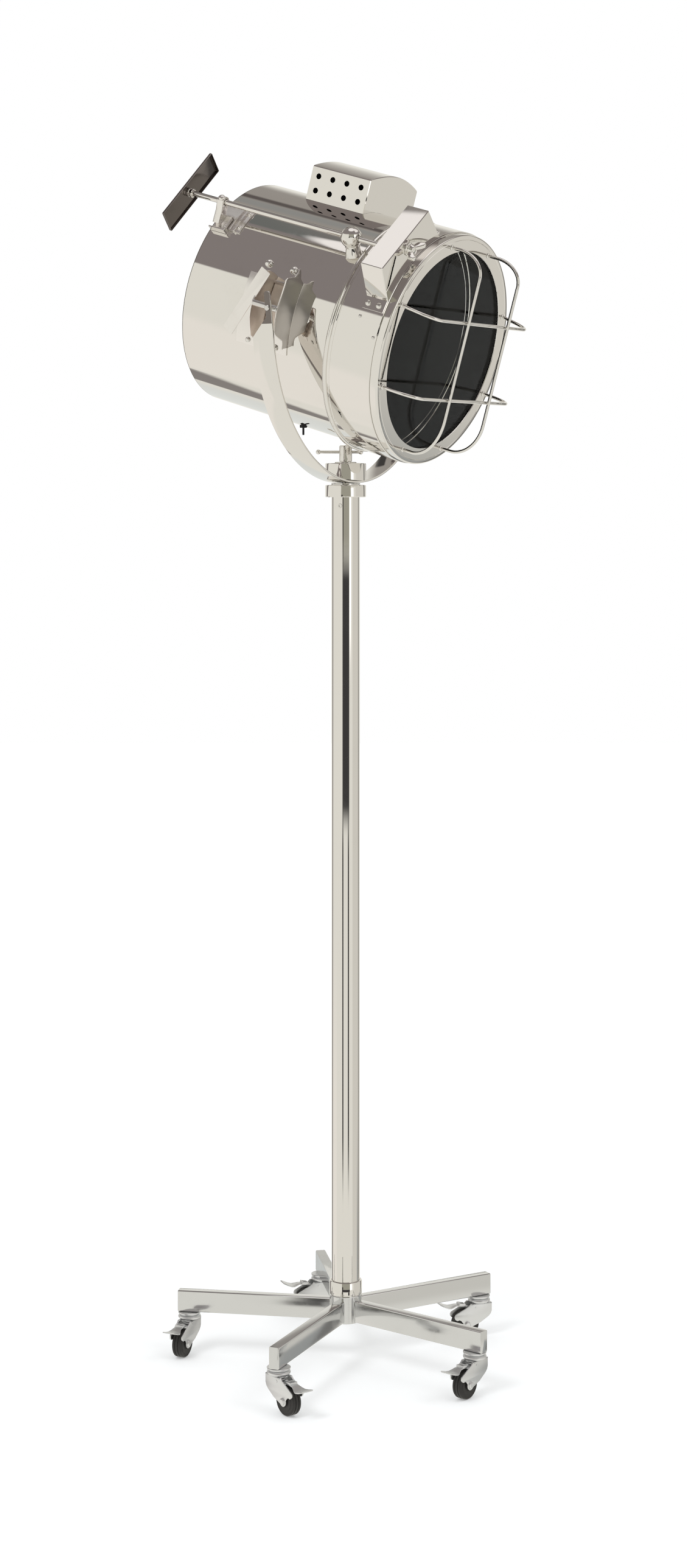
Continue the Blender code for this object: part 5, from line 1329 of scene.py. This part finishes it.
def makeBallPost():
    b, ball, top, neck = ballPost, ballPost["ball"], ballPost["top"], ballPost["neck"]
    centre = roundDrum(gear["reach"], gear["bearing"], b["along"])
    base = roundDrum(drum["radius"] - b["sink"], b["baseBearing"], b["baseAlong"])
    long = (base - centre).length
    profile = [(0, -ball)] + [(ball * sin(radians(t)), -ball * cos(radians(t))) for t in range(6, 138, 6)]
    profile += [(0.0128, 0.0146), (0.0134, 0.0152), (0.0134, 0.0168), (0.0126, 0.0174), (top, neck)]
    profile += [(top + (b["foot"] - top) * share ** 0.8, neck + (long - neck) * share)
                for share in (0.25, 0.5, 0.75, 0.92)]
    profile += [(b["foot"], long), (0, long)]
    post = turnedPiece("ballPost", profile, 64, "polishedNickel", "head", headPlace @ aimed(centre, base),
                       "ball_post")
    cutWith(post, [(plug(gear["bore"], 0.03), headPlace @ Matrix.Translation(centre) @ alongX),
                   (plug(drum["radius"] + gap, 0.5, 360), drumPlace)])
    shaded(post.data, 28)


# The rear bracket's screws: radius, height, washer, slot, and its bearing and place on the plate
bracket = {"along": -0.2035, "half": 0.0070, "boss": 0.0098, "waist": 0.016, "sheet": 0.0020, "foot": 54.0,
           "plateStart": 41.0, "plateEnd": 56.5, "plateRear": -0.2110, "plateFront": -0.1520,
           "ribs": (-0.1745, -0.1650), "ribWide": 0.0036, "ribTall": 0.0062, "troughStart": 50.4,
           "troughEnd": 58.8, "troughFront": -0.1765, "troughTall": 0.0125, "troughSink": 0.0004,
           "screws": ((0.0042, 0.0034, 0.0, 0.0009, 54.6, -0.1860),
                      (0.0036, 0.0030, 0.0050, 0.0, 44.0, -0.1570),
                      (0.0036, 0.0030, 0.0050, 0.0, 53.5, -0.1570))}


def makeRearBracket():
    # A stem round the rod, the trough it stands in and the folded plate under both.
    g, b = gear, bracket
    seat, thin, boss = drum["radius"] + gap, b["sheet"], b["boss"]
    top = seat + thin
    centre = roundDrum(g["reach"], g["bearing"]).yz
    low = roundDrum(top, b["foot"]).yz
    run = (centre - low).normalized()
    across = Vector((-run.y, run.x))
    heading = 180 / pi * atan2(run.y, run.x)
    waist = centre - run * b["waist"]
    outline = arc(centre, boss, heading - 90, heading + 90, 25)
    edges = (waist + across * boss * 0.80, low + across * boss, low - across * boss,
             waist - across * boss * 0.80)
    outline += [tuple(point) for point in edges]
    hole = arc(centre, g["bore"], 0, 360, 33)[:-1]
    stem = cutSheet("stem", [outline, hole], 2 * b["half"], 0.0012)
    rear, front = b["plateRear"], b["troughFront"]
    foot, wall = seat + b["troughSink"], seat + b["troughTall"]
    near, far, plate = b["troughStart"], b["troughEnd"], (b["plateStart"], b["plateEnd"])
    sheetTurn = 180 / pi * thin / seat
    slices = [ringSlice(seat, top, *plate, rear, b["plateFront"])]
    for place in b["ribs"]:
        slices.append(ringSlice(seat + 0.001, seat + b["ribTall"], *plate, place, place + b["ribWide"],
                                0.0008))
    for start in (near, far - sheetTurn):
        slices.append(ringSlice(foot, wall, start, start + sheetTurn, rear, front, 0.0005, 4))
    slices.append(ringSlice(foot, wall, near, far, front - thin, front, 0.0005, 6))
    cap = roundDrum(g["reach"] + boss - 0.0012, g["bearing"], b["along"])
    meshes = [(mesh, still) for mesh in slices]
    meshes += [(stem, movedBy(b["along"], 0, 0) @ facingX),
               (domeHead(0.0064, 0.0052), Matrix.Translation(cap) @ turnedBy(g["bearing"], "X"))]
    for *screw, bearing, along in b["screws"]:
        meshes.append((domeHead(*screw), drumFrame(top, bearing, along)))
    piece("rodBracket", facedOut(joined("rodBracket", meshes)), "bracketSheet", "head", headPlace,
          ["rod_bracket"])


makeBridge()
makeWingScrew()
makeControlRod()
makeBallPost()
makeRearBracket()
print("side gear made")


# Inside: reflector, lamp socket and lamp
inside = {"hole": 0.024, "sheet": 0.0015, "vertex": -0.190, "focus": 0.110, "mouth": -0.140, "depth": -0.165,
          "bore": 0.0133, "socket": 0.0190, "globe": 0.045, "neck": 0.013}


def makeInside():
    n, vertex, mouth, depth = inside, inside["vertex"], inside["mouth"], inside["depth"]
    rim = drum["radius"] - drum["wall"] - gap
    back = []
    for index in range(29):
        r = n["hole"] + (rim - n["hole"]) * index / 28
        back.append((r, vertex + r * r / (4 * n["focus"])))
    front = [(r, h + n["sheet"]) for r, h in back]
    # The reflector's near-black colour is painted shade
    turnedPiece("reflectorBowl", front + back[::-1], 128, "reflectorPaintedShade", "head", drumPlace, "reflector")
    seat = drum["rear"] - drum["dome"] + drum["wall"]
    bore, wide = n["bore"], n["socket"]
    socket = [(0, depth), (bore, depth), (bore, mouth), (wide - 0.002, mouth), (wide, mouth - 0.002),
              (wide, mouth - 0.018), (wide - 0.0012, mouth - 0.020), (wide, mouth - 0.022), (wide, seat),
              (0, seat)]
    turnedPiece("lampSocket", socket, 64, "glazedPorcelain", "head", drumPlace, "lamp_socket")
    globe, neck, middle = n["globe"], n["neck"], vertex + n["focus"]
    start = asin(neck / globe)
    turns = [start + (pi - start) * index / 24 for index in range(24)]
    profile = [(0, depth + gap), (neck, depth + gap), (neck, mouth + 0.001)]
    profile += [(globe * sin(t), middle - globe * cos(t)) for t in turns] + [(0, middle + globe)]
    turnedPiece("opalLamp", profile[::-1], 64, "opalGlass", "head", drumPlace, "bulb")


makeInside()
print("inside made")

# The front barrel's screws, the stud under the drum, the lock screw, and the spigot that it holds
barrelScrews = ((0.154, 80.0), (0.191, 88.0), (0.147, 143.0), (0.154, -12.0), (0.147, 205.0))
stud = {"along": -0.0045, "bearing": 165.7, "sink": 0.0005,
        "profile": ((0, -0.0005), (0.0064, -0.0005), (0.0066, 0.0002), (0.0066, 0.0040), (0.0060, 0.0048),
                    (0.0019, 0.0050), (0.0019, 0.0170), (0.0012, 0.0178), (0, 0.0178))}
lock = {"height": 1.5338, "bearing": -112.7, "radius": 0.004, "tip": 0.003, "groove": 0.0046}
spigot = {"play": 0.0006, "long": 0.120, "seat": 0.72, "edge": 0.001, "floor": 0.004}


def makeSmallFixings():
    heads = [(domeHead(0.0030, 0.0018), drumFrame(barrel["radius"] + 0.0002, bearing, along))
             for along, bearing in barrelScrews]
    piece("barrelScrews", joined("barrelScrews", heads), "turnedSteel", "head", headPlace)
    top = roundDrum(drum["radius"] - stud["sink"], stud["bearing"], stud["along"])
    straightDown = nod.inverted() @ Vector((0, 0, -1))
    # The stud takes the near-black finish: painted shade under the drum
    turnedPiece("drumStud", stud["profile"], 28, "paintedShadeDark", "head",
                headPlace @ aimed(top, top + straightDown))
    outer, r, height = stand["radius"], lock["radius"], lock["height"]
    bore = outer - stand["wall"]
    tip = bore - lock["tip"] + 2 * gap
    profile = [(0, tip), (r, tip), (r, outer + 0.0006), (r - 0.0004, outer + 0.0013),
               (0.0022, outer + 0.0013),
               (0.0018, outer - 0.0010), (0, outer - 0.0010)]
    t = radians(lock["bearing"])
    turnedPiece("lockScrew", profile, 32, "turnedSteel", "stand",
                poleFoot @ movedBy(0, 0, height) @ aimed((0, 0, 0), (cos(t), sin(t), 0)), "lock_screw")
    body, half = bore - spigot["play"], lock["groove"]
    groove, low = body - lock["tip"] + gap, stand["top"] - spigot["long"]
    thread, floor = clamp["shank"] + gap, clamp["saddleTop"] - clamp["shankLong"] - spigot["floor"]
    wide, high, edge = stand["collar"] * spigot["seat"], yokeBottom - gap, spigot["edge"]
    seat = stand["top"] + stand["collarLip"] + gap
    profile = [(0, floor), (thread, floor), (thread, high), (wide - edge, high), (wide, high - edge),
               (wide, seat),
               (body, seat), (body, height + half), (groove, height + half), (groove, height - half),
               (body, height - half), (body, low), (0, low)]
    turnedPiece("yokeSpigot", profile, 72, "turnedSteel", "yoke_frame", panPlace, "yoke_spigot")


makeSmallFixings()
print("small fixings made")

# Each mesh takes in its place, so that the boxes round the pieces are true ones
bpy.context.view_layer.update()
for made in madePieces:
    made.data.transform(made.matrix_world)
    made.matrix_world = still
bpy.context.view_layer.update()
print("pieces in place:", len(madePieces))
